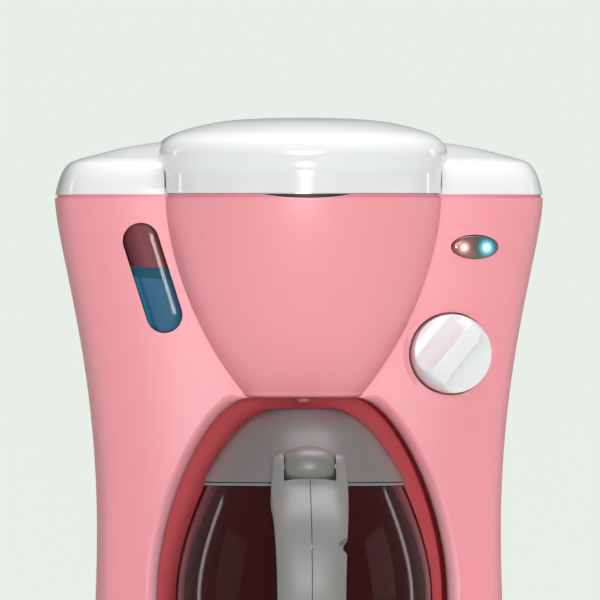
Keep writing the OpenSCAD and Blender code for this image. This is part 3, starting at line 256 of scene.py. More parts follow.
def grain(m, scale, strength, distance=0.00004):
    """A fine moulded texture in the gloss."""
    t = m.node_tree
    coord = t.nodes.new("ShaderNodeTexCoord")
    noise = t.nodes.new("ShaderNodeTexNoise")
    bump = t.nodes.new("ShaderNodeBump")
    noise.inputs["Scale"].default_value = scale
    noise.inputs["Detail"].default_value = 3
    bump.inputs["Strength"].default_value = strength
    bump.inputs["Distance"].default_value = distance
    t.links.new(coord.outputs["Object"], noise.inputs["Vector"])
    t.links.new(noise.outputs["Fac"], bump.inputs["Height"])
    t.links.new(bump.outputs["Normal"], t.nodes["Principled BSDF"].inputs["Normal"])
    return m


def coordinate(m):
    return m.node_tree.nodes.new("ShaderNodeTexCoord").outputs["Object"]


def scaled(m, value, low, high):
    """A value brought to 0..1 between two limits."""
    node = m.node_tree.nodes.new("ShaderNodeMapRange")
    node.inputs["From Min"].default_value = low
    node.inputs["From Max"].default_value = high
    m.node_tree.links.new(value, node.inputs["Value"])
    return node.outputs["Result"]


def along(m, direction, low, high):
    """0..1 along a direction, between two distances in millimetres."""
    node = m.node_tree.nodes.new("ShaderNodeVectorMath")
    node.operation = "DOT_PRODUCT"
    node.inputs[1].default_value = direction
    m.node_tree.links.new(coordinate(m), node.inputs[0])
    return scaled(m, node.outputs["Value"], low * MM, high * MM)


def spot(m, centre, radius):
    """1 at a point and 0 at a radius from it."""
    node = m.node_tree.nodes.new("ShaderNodeVectorMath")
    node.operation = "DISTANCE"
    node.inputs[1].default_value = centre
    m.node_tree.links.new(coordinate(m), node.inputs[0])
    return scaled(m, node.outputs["Value"], radius * MM, 0)


def ramp(m, value, stops):
    node = m.node_tree.nodes.new("ShaderNodeValToRGB")
    bands = node.color_ramp.elements
    while len(bands) < len(stops):
        bands.new(0.5)
    for band, (position, colour) in zip(bands, stops):
        band.position = position
        band.color = srgb(*colour)
    m.node_tree.links.new(value, node.inputs["Fac"])
    return node.outputs["Color"]


def mix(m, share, first, second, blend="MIX"):
    node = m.node_tree.nodes.new("ShaderNodeMix")
    node.data_type = "RGBA"
    node.blend_type = blend
    for socket, value in ((node.inputs[0], share), (node.inputs[6], first), (node.inputs[7], second)):
        if isinstance(value, (int, float, tuple)):
            socket.default_value = value
        else:
            m.node_tree.links.new(value, socket)
    return node.outputs[2]


def colour_in(m, socket, value):
    m.node_tree.links.new(value, m.node_tree.nodes["Principled BSDF"].inputs[socket])


pink = grain(material("pink_plastic", srgb(234, 147, 158), 0.42, Coat_Weight=0.15, Coat_Roughness=0.3),
             900, 0.12)
# Painted light on the bay's lip: the pink turns red deep in the bay as painted shade, and a lighter band near
# the lip's inner edge is a painted highlight on its rounding.
bay_lip_painted_light = material("bay_lip_painted_light", srgb(233, 148, 159), 0.45)
colour_in(bay_lip_painted_light, "Base Color", ramp(bay_lip_painted_light, along(bay_lip_painted_light, (0, -1, 0), 33 - BODY_Y, 39.5 - BODY_Y), [
    (0, (240, 98, 106)), (0.08, (242, 146, 156)), (0.2, (250, 186, 196)), (0.5, (247, 178, 189)),
    (0.9, (234, 147, 158))]))
white = grain(material("white_plastic", srgb(223, 223, 225), 0.2, Coat_Weight=0.5, Coat_Roughness=0.06),
              700, 0.06)
red = material("red_plastic", srgb(240, 98, 106), 0.6, Specular_IOR_Level=0.25)
grey = material("grey_plastic", srgb(120, 118, 117), 0.45, Coat_Weight=0.2, Coat_Roughness=0.35)
dome_grey = material("dome_grey", srgb(108, 105, 104), 0.42, Coat_Weight=0.3, Coat_Roughness=0.3)
dark = grain(material("dark_plastic", srgb(88, 84, 86), 0.5), 1200, 0.2)
knob_white = material("knob_plastic", srgb(226, 226, 228), 0.22, Coat_Weight=0.6, Coat_Roughness=0.05)
steel = material("steel", srgb(200, 200, 204), 0.3, Metallic=1.0)
rubber = material("rubber", srgb(70, 68, 68), 0.8)
clear = material("clear_plastic", srgb(225, 238, 242), 0.08, Transmission_Weight=0.9, IOR=1.3)
water = material("play_water", srgb(30, 120, 160), 0.05, Transmission_Weight=0.6, IOR=1.33)
glass = material("smoked_red", srgb(90, 8, 13), 0.08, Transmission_Weight=0.75, IOR=1.36)
board = material("board", srgb(30, 110, 60), 0.5)
tube = material("tube", srgb(225, 228, 226), 0.3)
wire = material("wire", srgb(170, 40, 40), 0.5)
lamp_red = material("red_lamp", srgb(225, 50, 50), 0.2)
lamp_blue = material("blue_lamp", srgb(40, 170, 225), 0.2)
cell = material("cell_sleeve", srgb(60, 110, 80), 0.35)


def use(obj, mat, body, nodes=()):
    obj.data.materials.clear()
    obj.data.materials.append(mat)
    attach(obj, body)
    if nodes:
        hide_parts(*nodes)
    return obj


# ---------- body shells ----------
def front_ring(z, inset, bulged, w, sides=44, middle=72):
    a, b = half_w(z) - inset, half_d(z) - inset
    p = 2 / PLAN_POWER
    last = math.acos((w / a) ** (1 / p))
    side = []
    for j in range(sides + 1):
        t = last * (j / sides) ** 1.25
        side.append((a * math.cos(t) ** p, b * math.sin(t) ** p))
    root = face(w, z, inset)
    mid = []
    for j in range(1, middle):
        t = math.pi * j / middle
        x = w * math.cos(t)
        mid.append((x, root + w * SWELL * math.sin(t) if bulged else face(x, z, inset)))
    return [world(x, f, z) for x, f in side + mid] + [world(-x, f, z) for x, f in reversed(side)]


def rear_ring(z, inset, steps=120):
    p = 2 / PLAN_POWER
    out = []
    for j in range(steps + 1):
        t = math.pi * j / steps
        c = 0.0 if 2 * j == steps else math.cos(t)
        s = max(0.0, math.sin(t))
        out.append(world(math.copysign(abs(c) ** p, c) * (half_w(z) - inset),
                         -(half_d(z) - inset) * s ** p, z))
    return out


def steps(a, b, n):
    return [a + (b - a) * i / n for i in range(n + 1)]


def sheet_wall(name, outer, inner):
    """A closed wall between two open sheets with the same numbers of rows and columns."""
    m, n = len(outer), len(outer[0])
    points = [p for row in outer for p in row] + [p for row in inner for p in row]
    s = m * n
    faces = []
    for i in range(m - 1):
        for j in range(n - 1):
            faces.append((i * n + j, i * n + j + 1, (i + 1) * n + j + 1, (i + 1) * n + j))
            faces.append((s + i * n + j, s + (i + 1) * n + j, s + (i + 1) * n + j + 1, s + i * n + j + 1))
        for j in (0, n - 1):
            faces.append((i * n + j, (i + 1) * n + j, s + (i + 1) * n + j, s + i * n + j))
    for i in (0, m - 1):
        for j in range(n - 1):
            faces.append((i * n + j, s + i * n + j, s + i * n + j + 1, i * n + j + 1))
    return add_mesh(name, points, faces)


def under_step(z):
    return min(z, BODY_TOP - LIP)


def over_floor(z):
    return under_step(z + WALL * max(0.0, 1 - (z - BAY_TOP) / 14))


def soften(u):
    u = max(0.0, min(1.0, u))
    return u * u * (3 - 2 * u)


LIP_R = 4.6


def arch_pairs(n=56):
    """The bay's edge and the same edge grown by the rounded lip, which fades out under the basket housing."""
    a = [bez(arch_side(0), i / n) for i in range(n + 1)]
    b = [bez(arch_side(LIP_R), i / n) for i in range(n + 1)]
    right = [((BAY_W / 2, z), (BAY_W / 2 + LIP_R, z)) for z in steps(DECK_Z, 59, 10)]
    for i in range(n, -1, -1):
        g = soften((a[i][0] - 19.6) / 9)
        right.append((a[i], (a[i][0] + (b[i][0] - a[i][0]) * g, a[i][1] + (b[i][1] - a[i][1]) * g)))
    return right + [((-p[0], p[1]), (-q[0], q[1])) for p, q in reversed(right)]


def front_shell():
    w0 = BULGE_FOOT_W / 2
    z_in = BAY_TOP + WALL
    plain = steps(DECK_Z, BAY_TOP, 54)
    round_z = [BAY_TOP + (BULGE_EDGE[0][1] - BAY_TOP) * (1 - math.cos(math.pi / 2 * i / 8)) for i in range(9)]
    high = [bez(BULGE_EDGE, t)[1] for t in steps(0.012, 1, 76)]
    high = [z for z in high if z < BODY_TOP - 0.5] + [BODY_TOP]
    up = round_z + high
    outer = [front_ring(z, 0, False, w0) for z in plain] + [front_ring(z, 0, True, bulge_half(z)) for z in up]
    outer += [front_ring(z, LIP_INSET, True, bulge_half(z) - LIP_INSET) for z in (BODY_TOP, TOP_Z)]
    inner = [front_ring(z_in if z == BAY_TOP else z, WALL, False, bulge_half(z_in) - WALL) for z in plain]
    inner += [front_ring(over_floor(z), WALL, True, bulge_half(over_floor(z)) - WALL) for z in up]
    inner += [front_ring(z, WALL, True, bulge_half(z) - WALL) for z in (BODY_TOP + LIP / 3, TOP_Z)]
    shell = sheet_wall("front_shell_fine", outer, inner)
    pairs = arch_pairs()
    tools = [prism("t_arch", [(x, z - (4 if z <= DECK_Z else 0)) for _, (x, z) in pairs], 93, 5)]
    tools.append(prism("t_window", capsule(WINDOW_R), 80, 20))
    tools.append(panel_prism("t_lens", [(LAMP_DX + 9.0 * math.cos(a), LAMP_Z - KNOB_Z + 4.5 * math.sin(a))
                                        for a in circle(64)], -12, 12))
    tools.append(panel_prism("t_knob", [((KNOB_R + 0.7) * math.cos(a), (KNOB_R + 0.7) * math.sin(a))
                                        for a in circle(96)], -6, 24))
    tools.append(plate_cutter())
    r = (16.5 ** 2 + 1.5 ** 2) / 3.0
    scoop = [(r * math.cos(a), TOP_Z - 1.5 + r + r * math.sin(a)) for a in circle(720)]
    tools.append(prism("t_scoop", scoop, 90, 60))
    cut(shell, *tools)
    shade(shell, 32)
    bevel(shell, 0.35, 40, 2)
    use(shell, pink, "housing", ["front_shell"])
    # The rounded lip round the bay.
    bay_lip("right", [(p, q) for p, q in pairs if p[0] > BULGE_FOOT_W / 2])
    bay_lip("left", [(p, q) for p, q in pairs if p[0] < -BULGE_FOOT_W / 2])
    # The knob's well.
    well = panel_lathe("knob_well", [(0, -10), (KNOB_R + 2.7, -10), (KNOB_R + 2.7, -1.4),
                                     (KNOB_R + 0.75, -1.4), (KNOB_R + 0.75, -8), (0, -8)], 128)
    use(well, pink, "housing", ["front_shell"])


PLATE_RIM, RIM_FROM = 2.5, 33


def plate_cutter():
    """Cuts the place of the plate under the bulge, back past the bay's rim."""
    a = BULGE_FOOT_W / 2 - PLATE_RIM
    root = face(BULGE_FOOT_W / 2, BAY_TOP)
    plan = [(a * math.cos(math.pi * i / 48), root + a * SWELL * math.sin(math.pi * i / 48))
            for i in range(49)]
    plan += [(-a, RIM_FROM - 1), (a, RIM_FROM - 1)]
    n = len(plan)
    points = [world(x, f, z) for z in (BAY_TOP - 4, BAY_TOP + WALL + 0.4) for x, f in plan]
    faces = [tuple(range(n)), tuple(range(2 * n - 1, n - 1, -1))]
    faces += [(i, n + i, n + (i + 1) % n, (i + 1) % n) for i in range(n)]
    return add_mesh("t_plate", points, faces)


def bay_lip(word, pairs):
    rows = []
    for p, q in pairs:
        g = math.hypot(q[0] - p[0], q[1] - p[1])
        f0 = face(q[0], q[1])
        ring = []
        for k in range(13):
            a = math.pi / 2 * k / 12
            s = 1 - math.sin(a)
            x, z = p[0] + (q[0] - p[0]) * s, p[1] + (q[1] - p[1]) * s
            ring.append(world(x, f0 - g * (1 - math.cos(a)), z))
        out = (p[0] + (q[0] - p[0]) * 0.99, p[1] + (q[1] - p[1]) * 0.99)
        ring.append(world(p[0], RIM_FROM + 0.05, p[1]))
        ring.append(world(out[0], RIM_FROM + 0.05, out[1]))
        rows.append(ring)
    points, faces = grid(rows, closed=True, cap_first=True, cap_last=True)
    lip = add_mesh("bay_lip_" + word, points, faces, 50)
    use(lip, bay_lip_painted_light, "housing", ["front_shell"])


def circle(n):
    return [2 * math.pi * i / n for i in range(n)]


def capsule(r, n=28):
    """The slanted window's outline."""
    dx, dz = WINDOW_TOP[0] - WINDOW_FOOT[0], WINDOW_TOP[1] - WINDOW_FOOT[1]
    lean = math.atan2(dz, dx)
    out = []
    for i in range(n + 1):
        a = lean - math.pi / 2 + math.pi * i / n
        out.append((WINDOW_TOP[0] + r * math.cos(a), WINDOW_TOP[1] + r * math.sin(a)))
    for i in range(n + 1):
        a = lean + math.pi / 2 + math.pi * i / n
        out.append((WINDOW_FOOT[0] + r * math.cos(a), WINDOW_FOOT[1] + r * math.sin(a)))
    return out


PANEL = (Matrix.Translation(Vector(world(KNOB_X, face(KNOB_X, KNOB_Z), KNOB_Z)))
         @ Matrix.Rotation(math.radians(TILT), 4, "Z") @ Matrix.Rotation(math.radians(90), 4, "X"))


def panel_prism(name, outline, low, high):
    n = len(outline)
    points = [PANEL @ Vector((x * MM, y * MM, z * MM)) for z in (low, high) for x, y in outline]
    faces = [tuple(range(n)), tuple(range(2 * n - 1, n - 1, -1))]
    faces += [(i, n + i, n + (i + 1) % n, (i + 1) % n) for i in range(n)]
    return add_mesh(name, points, faces)


def panel_lathe(name, profile, n=128, angle=35.0, turn=None):
    rows = [[PANEL @ Vector((r * MM * math.cos(a), r * MM * math.sin(a), z * MM)) for a in circle(n)]
            for r, z in profile]
    points, faces = grid(rows, closed=True)
    return add_mesh(name, points, faces, angle)


def rear_shell():
    up = [TOP_Z, BODY_TOP] + [BODY_TOP] + steps(BODY_TOP - 0.6, DECK_Z, 70)
    outer = [rear_ring(z, LIP_INSET if i < 2 else 0) for i, z in enumerate(up)]
    inner = [rear_ring(TOP_Z, WALL), rear_ring(BODY_TOP + LIP / 3, WALL), rear_ring(BODY_TOP - LIP, WALL)]
    inner += [rear_ring(min(z, BODY_TOP - LIP - 0.3 * (i + 1) / 70), WALL)
              for i, z in enumerate(steps(BODY_TOP - 0.6, DECK_Z, 70))]
    shell = sheet_wall("rear_shell_fine", outer, inner)
    tools = []
    for i in range(6):
        z = 120 + i * 8
        tools.append(prism(f"t_vent{i}", [(-26, z), (-25, z - 1.3), (25, z - 1.3), (26, z), (25, z + 1.3),
                                          (-25, z + 1.3)], -30, -60))
    for x, z in ((67, 64), (76, 197)):
        for side in (-1, 1):
            tools.append(prism("t_hole", [(side * x + 3.2 * math.cos(a), z + 3.2 * math.sin(a))
                                          for a in circle(40)], -20, -60))
    cut(shell, *tools)
    shade(shell, 32)
    bevel(shell, 0.3, 40, 2)
    use(shell, pink, "housing", ["rear_shell"])
    for i, (x, z) in enumerate(((67, 64), (76, 197))):
        for side in (-1, 1):
            rows = []
            back = face(x, z, WALL * 0.4)
            for r, f in ((4.4, 0), (4.4, -1), (4.4, -(back - 4)), (3.2, -(back - 4)), (3.2, -11),
                         (1.7, -11), (1.7, 0)):
                rows.append([world(side * x + r * math.cos(a), f, z + r * math.sin(a)) for a in circle(40)])
            points, faces = grid(rows, closed=True)
            boss = add_mesh(f"rear_boss_{i}_{'r' if side > 0 else 'l'}", points, faces)
            use(boss, pink, "housing", ["rear_shell"])


front_shell()
rear_shell()


# ---------- white top ----------
SHOULDER = [(0.2, 0), (0.9, 3.2), (2, 6.8), (3.4, 9.6), (5.1, 11.6), (7.8, 12.9), (11.2, 13.9), (17.6, 15.6),
            (25.4, 17.5), (32.4, 18.7), (38.8, 19.6)]
DECK_TOP = TOP_Z + WALL
CHANNEL_W = BULGE_W + 0.8


def through(points, n):
    """A smooth curve through points, with n steps in each stretch."""
    p = [points[0]] + list(points) + [points[-1]]
    out = []
    for i in range(1, len(p) - 2):
        for k in range(n):
            t = k / n
            out.append(tuple(0.5 * (2 * b + (c - a) * t + (2 * a - 5 * b + 4 * c - d) * t * t
                                    + (3 * b - a - 3 * c + d) * t ** 3)
                             for a, b, c, d in zip(p[i - 1], p[i], p[i + 1], p[i + 2])))
    return out + [tuple(points[-1])]


def plan(inset, z, steps=200):
    p = 2 / PLAN_POWER
    out = []
    for j in range(steps):
        c, s = math.cos(2 * math.pi * j / steps), math.sin(2 * math.pi * j / steps)
        out.append(world(math.copysign(abs(c) ** p, c) * (TOP_W / 2 - inset),
                         math.copysign(abs(s) ** p, s) * (TOP_D / 2 - inset), z))
    return out


def box(name, low, high):
    """A plain cutting block between two corners given as x, distance ahead and z."""
    outline = [(low[0], low[2]), (high[0], low[2]), (high[0], high[2]), (low[0], high[2])]
    return prism(name, outline, high[1], low[1])


def pillow(name, inset, drop, low):
    levels = through(SHOULDER, 5)
    rows = [plan(inset + levels[0][0], low)] if low < TOP_Z else []
    rows += [plan(inset + a, TOP_Z + max(0.0, h - drop)) for a, h in levels if not drop or h > drop + 0.2]
    points, faces = grid(rows, closed=True, cap_first=True, cap_last=True)
    return add_mesh(name, points, faces)


def top_cover():
    for side, word in ((1, "right"), (-1, "left")):
        lobe = pillow(f"shoulder_{word}", 0, 0, TOP_Z)
        hollow = pillow("t_hollow", WALL, 0.9 * WALL, TOP_Z - 2)
        keep = box("t_keep", (CHANNEL_W / 2 + WALL, -60, 190), (120, 60, 250))
        if side < 0:
            bpy.data.objects.remove(keep, do_unlink=True)
            keep = box("t_keep", (-120, -60, 190), (-CHANNEL_W / 2 - WALL, 60, 250))
        cut(hollow, keep, op="INTERSECT")
        far = (-120, -60, 180), (CHANNEL_W / 2, 60, 250)
        if side < 0:
            far = (-CHANNEL_W / 2, -60, 180), (120, 60, 250)
        cut(lobe, box("t_channel", *far), hollow)
        shade(lobe, 40)
        bevel(lobe, 0.7, 45, 4)
        use(lobe, white, "housing", ["top_cover"])
    deck = cleaned("top_cover", "deck")
    cut(deck, box("t_deck", (-CHANNEL_W / 2, -60, TOP_Z - 1), (CHANNEL_W / 2, 80, TOP_Z + 12)),
        op="INTERSECT")
    shade(deck, 35)
    use(deck, white, "housing", ["top_cover"])


LID_LEVELS = [(TOP_Z + 0.3, 0, 1), (TOP_Z + 7.6, 0.1, 1), (TOP_Z + 9.8, 1.1, 1), (TOP_Z + 12.3, 2, 1),
              (TOP_Z + 14.9, 2.5, 1), (TOP_Z + 17.3, 1.8, 1), (LID_TOP - 8.8, 0.4, 1),
              (LID_TOP - 6.8, 0, 0.957), (LID_TOP - 5.1, 0, 0.884), (LID_TOP - 3.1, 0, 0.752),
              (LID_TOP - 1.5, 0, 0.598), (LID_TOP - 0.5, 0, 0.394), (LID_TOP, 0, 0.157)]
LID_MID, LID_CORNER, LID_TAPER, SKIRT_T = 22.0, 6.0, 0.5, 2.0
LID_ROOT = face(BULGE_W / 2, TOP_Z)
HINGE_AHEAD, HINGE_Z = -LID_REAR - 3.2 - 0.6, DECK_TOP + 3.2 + 0.4


def lid_ring(z, e, k, inset, drop):
    w = BULGE_W / 2 - inset
    edge = LID_ROOT - 3.6
    sides = [(w + e * soften((d - edge) / 3.6) - LID_TAPER * ((LID_ROOT - d) / 66) ** 2, d)
             for d in steps(LID_ROOT - 0.4, edge, 8) + steps(edge - 3, -LID_REAR + LID_CORNER + 1, 14)]
    r = LID_CORNER - inset
    corner = [(BULGE_W / 2 - LID_TAPER - LID_CORNER + r * math.cos(a),
               -LID_REAR + LID_CORNER - r * math.sin(a))
              for a in steps(0, math.pi / 2, 8)]
    front = [((w + e) * math.cos(t), LID_ROOT + (BULGE_W / 2 * SWELL - inset + e) * math.sin(t))
             for t in steps(0, math.pi, 96)]
    right = sides + corner
    ring = front + [(-x, d) for x, d in right] + right[::-1]
    out = []
    for x, d in ring:
        # The thumb lip swells out of the front of the skirt.
        if inset == 0 and d > LID_ROOT:
            u = 1 - (x / 15.5) ** 2
            v = soften((TOP_Z + 13 - z) / 7)
            if u > 0:
                d += 1.9 * u ** 1.5 * v
        out.append(world(k * x, LID_MID + k * (d - LID_MID), z - drop))
    return out


def lid():
    levels = through(LID_LEVELS, 6)
    outer = [lid_ring(z, e * OVERHANG / 2.5, k, 0, 0) for z, e, k in levels]
    inner = [lid_ring(z, e, k, SKIRT_T, SKIRT_T if k < 1 else 1.0 if z > TOP_Z + 16 else 0)
             for z, e, k in levels]
    points, faces = grid(inner[::-1] + outer, closed=True, cap_first=True, cap_last=True)
    body = add_mesh("lid_fine", points, faces)
    cut(body, box("t_under", (-60, -60, TOP_Z - 10), (60, LID_ROOT + 0.1, DECK_TOP + FIT)))
    shade(body, 35)
    bevel(body, 0.5, 50, 3)
    use(body, white, "lid", ["lid"])
    ears = cleaned("lid", "lid_ears")
    cut(ears, box("t_ears", (-40, -60, 200), (40, -LID_REAR - 0.1, 225)), op="INTERSECT")
    shade(ears, 35)
    bevel(ears, 0.25, 35, 2)
    use(ears, white, "lid", ["lid"])


top_cover()
lid()


# ---------- window, knob and lamps ----------
def window_colours():
    """The window pane in painted colours: above the water a maroon that stands in for the empty tank in shade
    behind it, in painted shade darker towards both edges; below, the play water's blue, with a painted
    highlight along its left edge, darker painted bands and a darker band painted just under the water line.
    """
    m = material("window_painted_light", srgb(120, 66, 74), 0.5, Specular_IOR_Level=0.1,
                 Coat_Weight=0.12, Coat_Roughness=0.05)
    lean = math.atan2(WINDOW_FOOT[0] - WINDOW_TOP[0], WINDOW_TOP[1] - WINDOW_FOOT[1])
    across = (math.cos(lean), 0, math.sin(lean))
    mid = WINDOW_TOP[0] * across[0] + WINDOW_TOP[1] * across[2]
    side = along(m, across, mid - WINDOW_R, mid + WINDOW_R)
    # Painted shade: a maroon for the shaded empty tank, darker towards both edges.
    dry_painted_shade = ramp(m, side, [(0, (62, 18, 24)), (0.16, (92, 40, 47)), (0.5, (122, 64, 72)), (0.85, (118, 66, 68)),
                         (0.95, (84, 34, 40))])
    # The play water's blue, with a painted highlight along the left edge and darker painted bands.
    water_painted_light = ramp(m, side, [(0, (22, 92, 128)), (0.05, (30, 122, 158)), (0.14, (20, 74, 98)),
                         (0.26, (50, 92, 130)), (0.6, (50, 98, 128)), (0.86, (36, 84, 108)),
                         (1.0, (44, 60, 110))])
    # A darker band painted just under the water line.
    waterline_band = ramp(m, along(m, (0.12, 0, 1), 176.4 - 6.4, 184.4 - 6.4),
                    [(0, (0, 0, 0)), (0.16, (0, 0, 0)), (0.22, (255, 255, 255))])
    level = ramp(m, along(m, (0.06, 0, 1), 181.9 - 3.2, 182.1 - 3.2), [(0, (0, 0, 0)), (1, (255, 255, 255))])
    water_painted_light = mix(m, waterline_band, water_painted_light, srgb(20, 72, 94))
    colour_in(m, "Base Color", mix(m, level, water_painted_light, dry_painted_shade))
    return m


def water_window():
    rows = []
    for r, deep in ((0.2, 0.3), (3, 0.32), (5, 0.4), (5.7, 0.52), (6.2, 0.8), (6.5, 1.2),
                    (6.5, 2.1), (0.2, 2.1)):
        rows.append([world(x, face(x, z) - deep, z) for x, z in capsule(r)])
    points, faces = grid(rows, closed=True, cap_first=True, cap_last=True)
    pane = add_mesh("window_fine", points, faces, 60)
    use(pane, window_colours(), "housing", ["water_window"])


def knob():
    rim, height, blade = 4.4, 7.0, 6.6
    span = KNOB_R - blade / 2
    scoop = (span ** 2 + height ** 2) / (2 * height)
    dome = through([(0, 11.9), (4, 11.75), (8.45, 11.2), (11.65, 10), (13.45, 8), (14.35, 5.8),
                    (14.65, 3.4)], 12)
    turn = math.radians(31)

    def hollow(out):
        reach = max(0.0, span - out)
        return rim + scoop - math.sqrt(max(0.0, scoop ** 2 - reach ** 2))

    def top(r, u, v):
        i = min(len(dome) - 2, max(0, sum(1 for q in dome if q[0] < r) - 1))
        (r0, z0), (r1, z1) = dome[i], dome[i + 1]
        cap = z0 + (z1 - z0) * (r - r0) / (r1 - r0)
        low = [cap]
        for side in (-1, 1):
            low.append(hollow(side * u - blade / 2))
            low.append(hollow((side * u - blade / 2) * math.cos(turn) + (v - KNOB_R + 6) * math.sin(turn)))
        return -math.log(sum(math.exp(-h * 7) for h in low)) / 7

    rows = []
    for i in range(111):
        r = 0.02 + (KNOB_R - 0.02) * (i / 110) ** 0.85
        row = []
        for a in circle(288):
            u, v = r * math.cos(a), r * math.sin(a)
            z = top(r, u, v)
            b = a + math.radians(-40)
            row.append(PANEL @ Vector((r * MM * math.cos(b), r * MM * math.sin(b), z * MM)))
        rows.append(row)
    for r, z in ((KNOB_R, 0), (KNOB_R, -7.2), (0.5, -7.2)):
        rows.append([PANEL @ Vector((r * MM * math.cos(a - math.radians(40)),
                                     r * MM * math.sin(a - math.radians(40)), z * MM)) for a in circle(288)])
    points, faces = grid(rows, closed=True, cap_first=True, cap_last=True)
    use(add_mesh("knob_fine", points, faces, 50), knob_white, "knob", ["knob"])


def lens():
    high = face(KNOB_X + LAMP_DX, LAMP_Z) - face(KNOB_X, KNOB_Z) + LAMP_DX * math.sin(math.radians(TILT))
    rows = []
    for k, z in ((0.02, 0.72), (0.3, 0.7), (0.55, 0.6), (0.75, 0.42), (0.88, 0.2), (0.96, -0.1),
                 (0.985, -0.4), (0.985, -3.4)):
        rows.append([PANEL @ Vector(((LAMP_DX + 8.9 * k * math.cos(a)) * MM,
                                     (LAMP_Z - KNOB_Z + 4.4 * k * math.sin(a)) * MM, (high + z) * MM))
                     for a in circle(96)])
    points, faces = grid(rows, closed=True, cap_first=True, cap_last=True)
    piece = add_mesh("lens_fine", points, faces, 60)
    m = material("lens_tint", srgb(110, 70, 72), 0.12, Coat_Weight=0.8, Coat_Roughness=0.04)
    spots = [PANEL @ Vector(((LAMP_DX + d) * MM, (LAMP_Z - KNOB_Z - 0.2) * MM, (high + 0.6) * MM))
             for d in (-4.2, 4.3)]
    axis = PANEL.to_3x3() @ Vector((1, 0, 0))
    middle = (PANEL @ Vector((LAMP_DX * MM, 0, 0))).dot(axis) / MM
    body = ramp(m, along(m, tuple(axis), middle - 9, middle + 9),
                [(0, (120, 26, 46)), (0.12, (134, 62, 66)), (0.42, (122, 84, 80)), (0.56, (66, 84, 80)),
                 (0.72, (44, 104, 116)), (1, (52, 74, 96))])
    colour_in(m, "Base Color", body)
    warm = ramp(m, spot(m, spots[0], 4.4), [(0, (0, 0, 0)), (0.35, (70, 30, 26)), (0.62, (190, 150, 140)),
                                            (0.74, (240, 244, 242)), (1, (240, 250, 250))])
    cold = ramp(m, spot(m, spots[1], 4.6), [(0, (0, 0, 0)), (0.3, (20, 66, 78)), (0.56, (100, 190, 206)),
                                            (0.72, (225, 250, 252)), (1, (240, 252, 252))])
    colour_in(m, "Emission Color", mix(m, 1.0, warm, cold, "SCREEN"))
    m.node_tree.nodes["Principled BSDF"].inputs["Emission Strength"].default_value = 0.9
    use(piece, m, "housing", ["light_lens"])


water_window()
knob()
lens()


# ---------- carafe ----------
PLATE_Z = 29.3
BELLY_Z, CARAFE_R, MOUTH_R, MOUTH_Z, GLASS_T = 60.0, 47.4, 36.8, 102.0, 2.0
COLLAR_R, LID_FOOT, DOME_Z = 33.2, 103.2, 130.1
HINGE_R, LEVER_Z, LEVER_R, LEVER_GAP, LEVER_W = 48.0, 109.0, 7.6, 0.35, 18.4
PRONG_R, PRONG_H, GRIP_T, HANDLE_W, ARM_W, PIN_R = 6.0, 5.0, 10.0, 28.4, 12.0, 1.2
SCREW_R, HEAD_R = 1.5, 2.9
AXIS = world(0, CARAFE_AHEAD, 0)
AXIS_MM = (0, AXIS[1] / MM)


def curve(p, n):
    return [bez(p, i / n) for i in range(n + 1)]


JUG_LINE = (curve([(33.5, PLATE_Z), (43, PLATE_Z + 0.4), (CARAFE_R, 45), (CARAFE_R, BELLY_Z)], 40)[:-1]
            + curve([(CARAFE_R, BELLY_Z), (CARAFE_R, 74), (43, 88), (MOUTH_R, MOUTH_Z)], 48))


def jug_solid(name, grow, top=MOUTH_Z + 5, steps=144):
    line = [(0.01, JUG_LINE[0][1] - grow)]
    line += [(r + grow, z - (grow if i == 0 else 0)) for i, (r, z) in enumerate(JUG_LINE)]
    return revolve(name, line + [(MOUTH_R + grow, top), (0.01, top)], AXIS_MM, steps)


def jug_hollow(name):
    line = [(0.01, PLATE_Z + GLASS_T)]
    line += [(r - GLASS_T, z + (GLASS_T * (40 - z) / (40 - PLATE_Z) if z < 40 else 0)) for r, z in JUG_LINE]
    return revolve(name, line + [(MOUTH_R - GLASS_T, MOUTH_Z + 9), (0.01, MOUTH_Z + 9)], AXIS_MM, 144)


def spout_cone(name, grow):
    low, high = (33, 72), (22, MOUTH_Z)
    lean = math.atan2(low[0] - high[0], high[1] - low[1])
    length = math.hypot(high[0] - low[0], high[1] - low[1])
    h = length + 8
    r1, r2 = 7 + grow, 7 + grow + 13.5 * h / length
    place_at = (Matrix.Translation(Vector((0, AXIS[1] + low[0] * MM, low[1] * MM)))
                @ Matrix.Rotation(lean, 4, "X"))
    rows = [[place_at @ Vector((r * MM * math.cos(a), r * MM * math.sin(a), z * MM)) for a in circle(128)]
            for r, z in ((0.01, 0), (r1, 0), (r2, h), (0.01, h))]
    points, faces = grid(rows, closed=True)
    return add_mesh(name, points, faces)


def slab(name, x0, x1, low_z, high_z, behind=80, front=80):
    """A cutting block round the carafe's axis."""
    outline = [(x0, low_z), (x1, low_z), (x1, high_z), (x0, high_z)]
    return prism(name, outline, CARAFE_AHEAD + front, CARAFE_AHEAD - behind)


def side_slab(name, outline, left, right):
    """An outline in radius and height, carried across from left to right."""
    n = len(outline)
    points = [world(x, CARAFE_AHEAD + r, z) for x in (right, left) for r, z in outline]
    faces = [tuple(range(n)), tuple(range(2 * n - 1, n - 1, -1))]
    faces += [(i, n + i, n + (i + 1) % n, (i + 1) % n) for i in range(n)]
    return add_mesh(name, points, faces)


def disc(centre, r, n=96):
    return [(centre[0] + r * math.cos(a), centre[1] + r * math.sin(a)) for a in circle(n)]


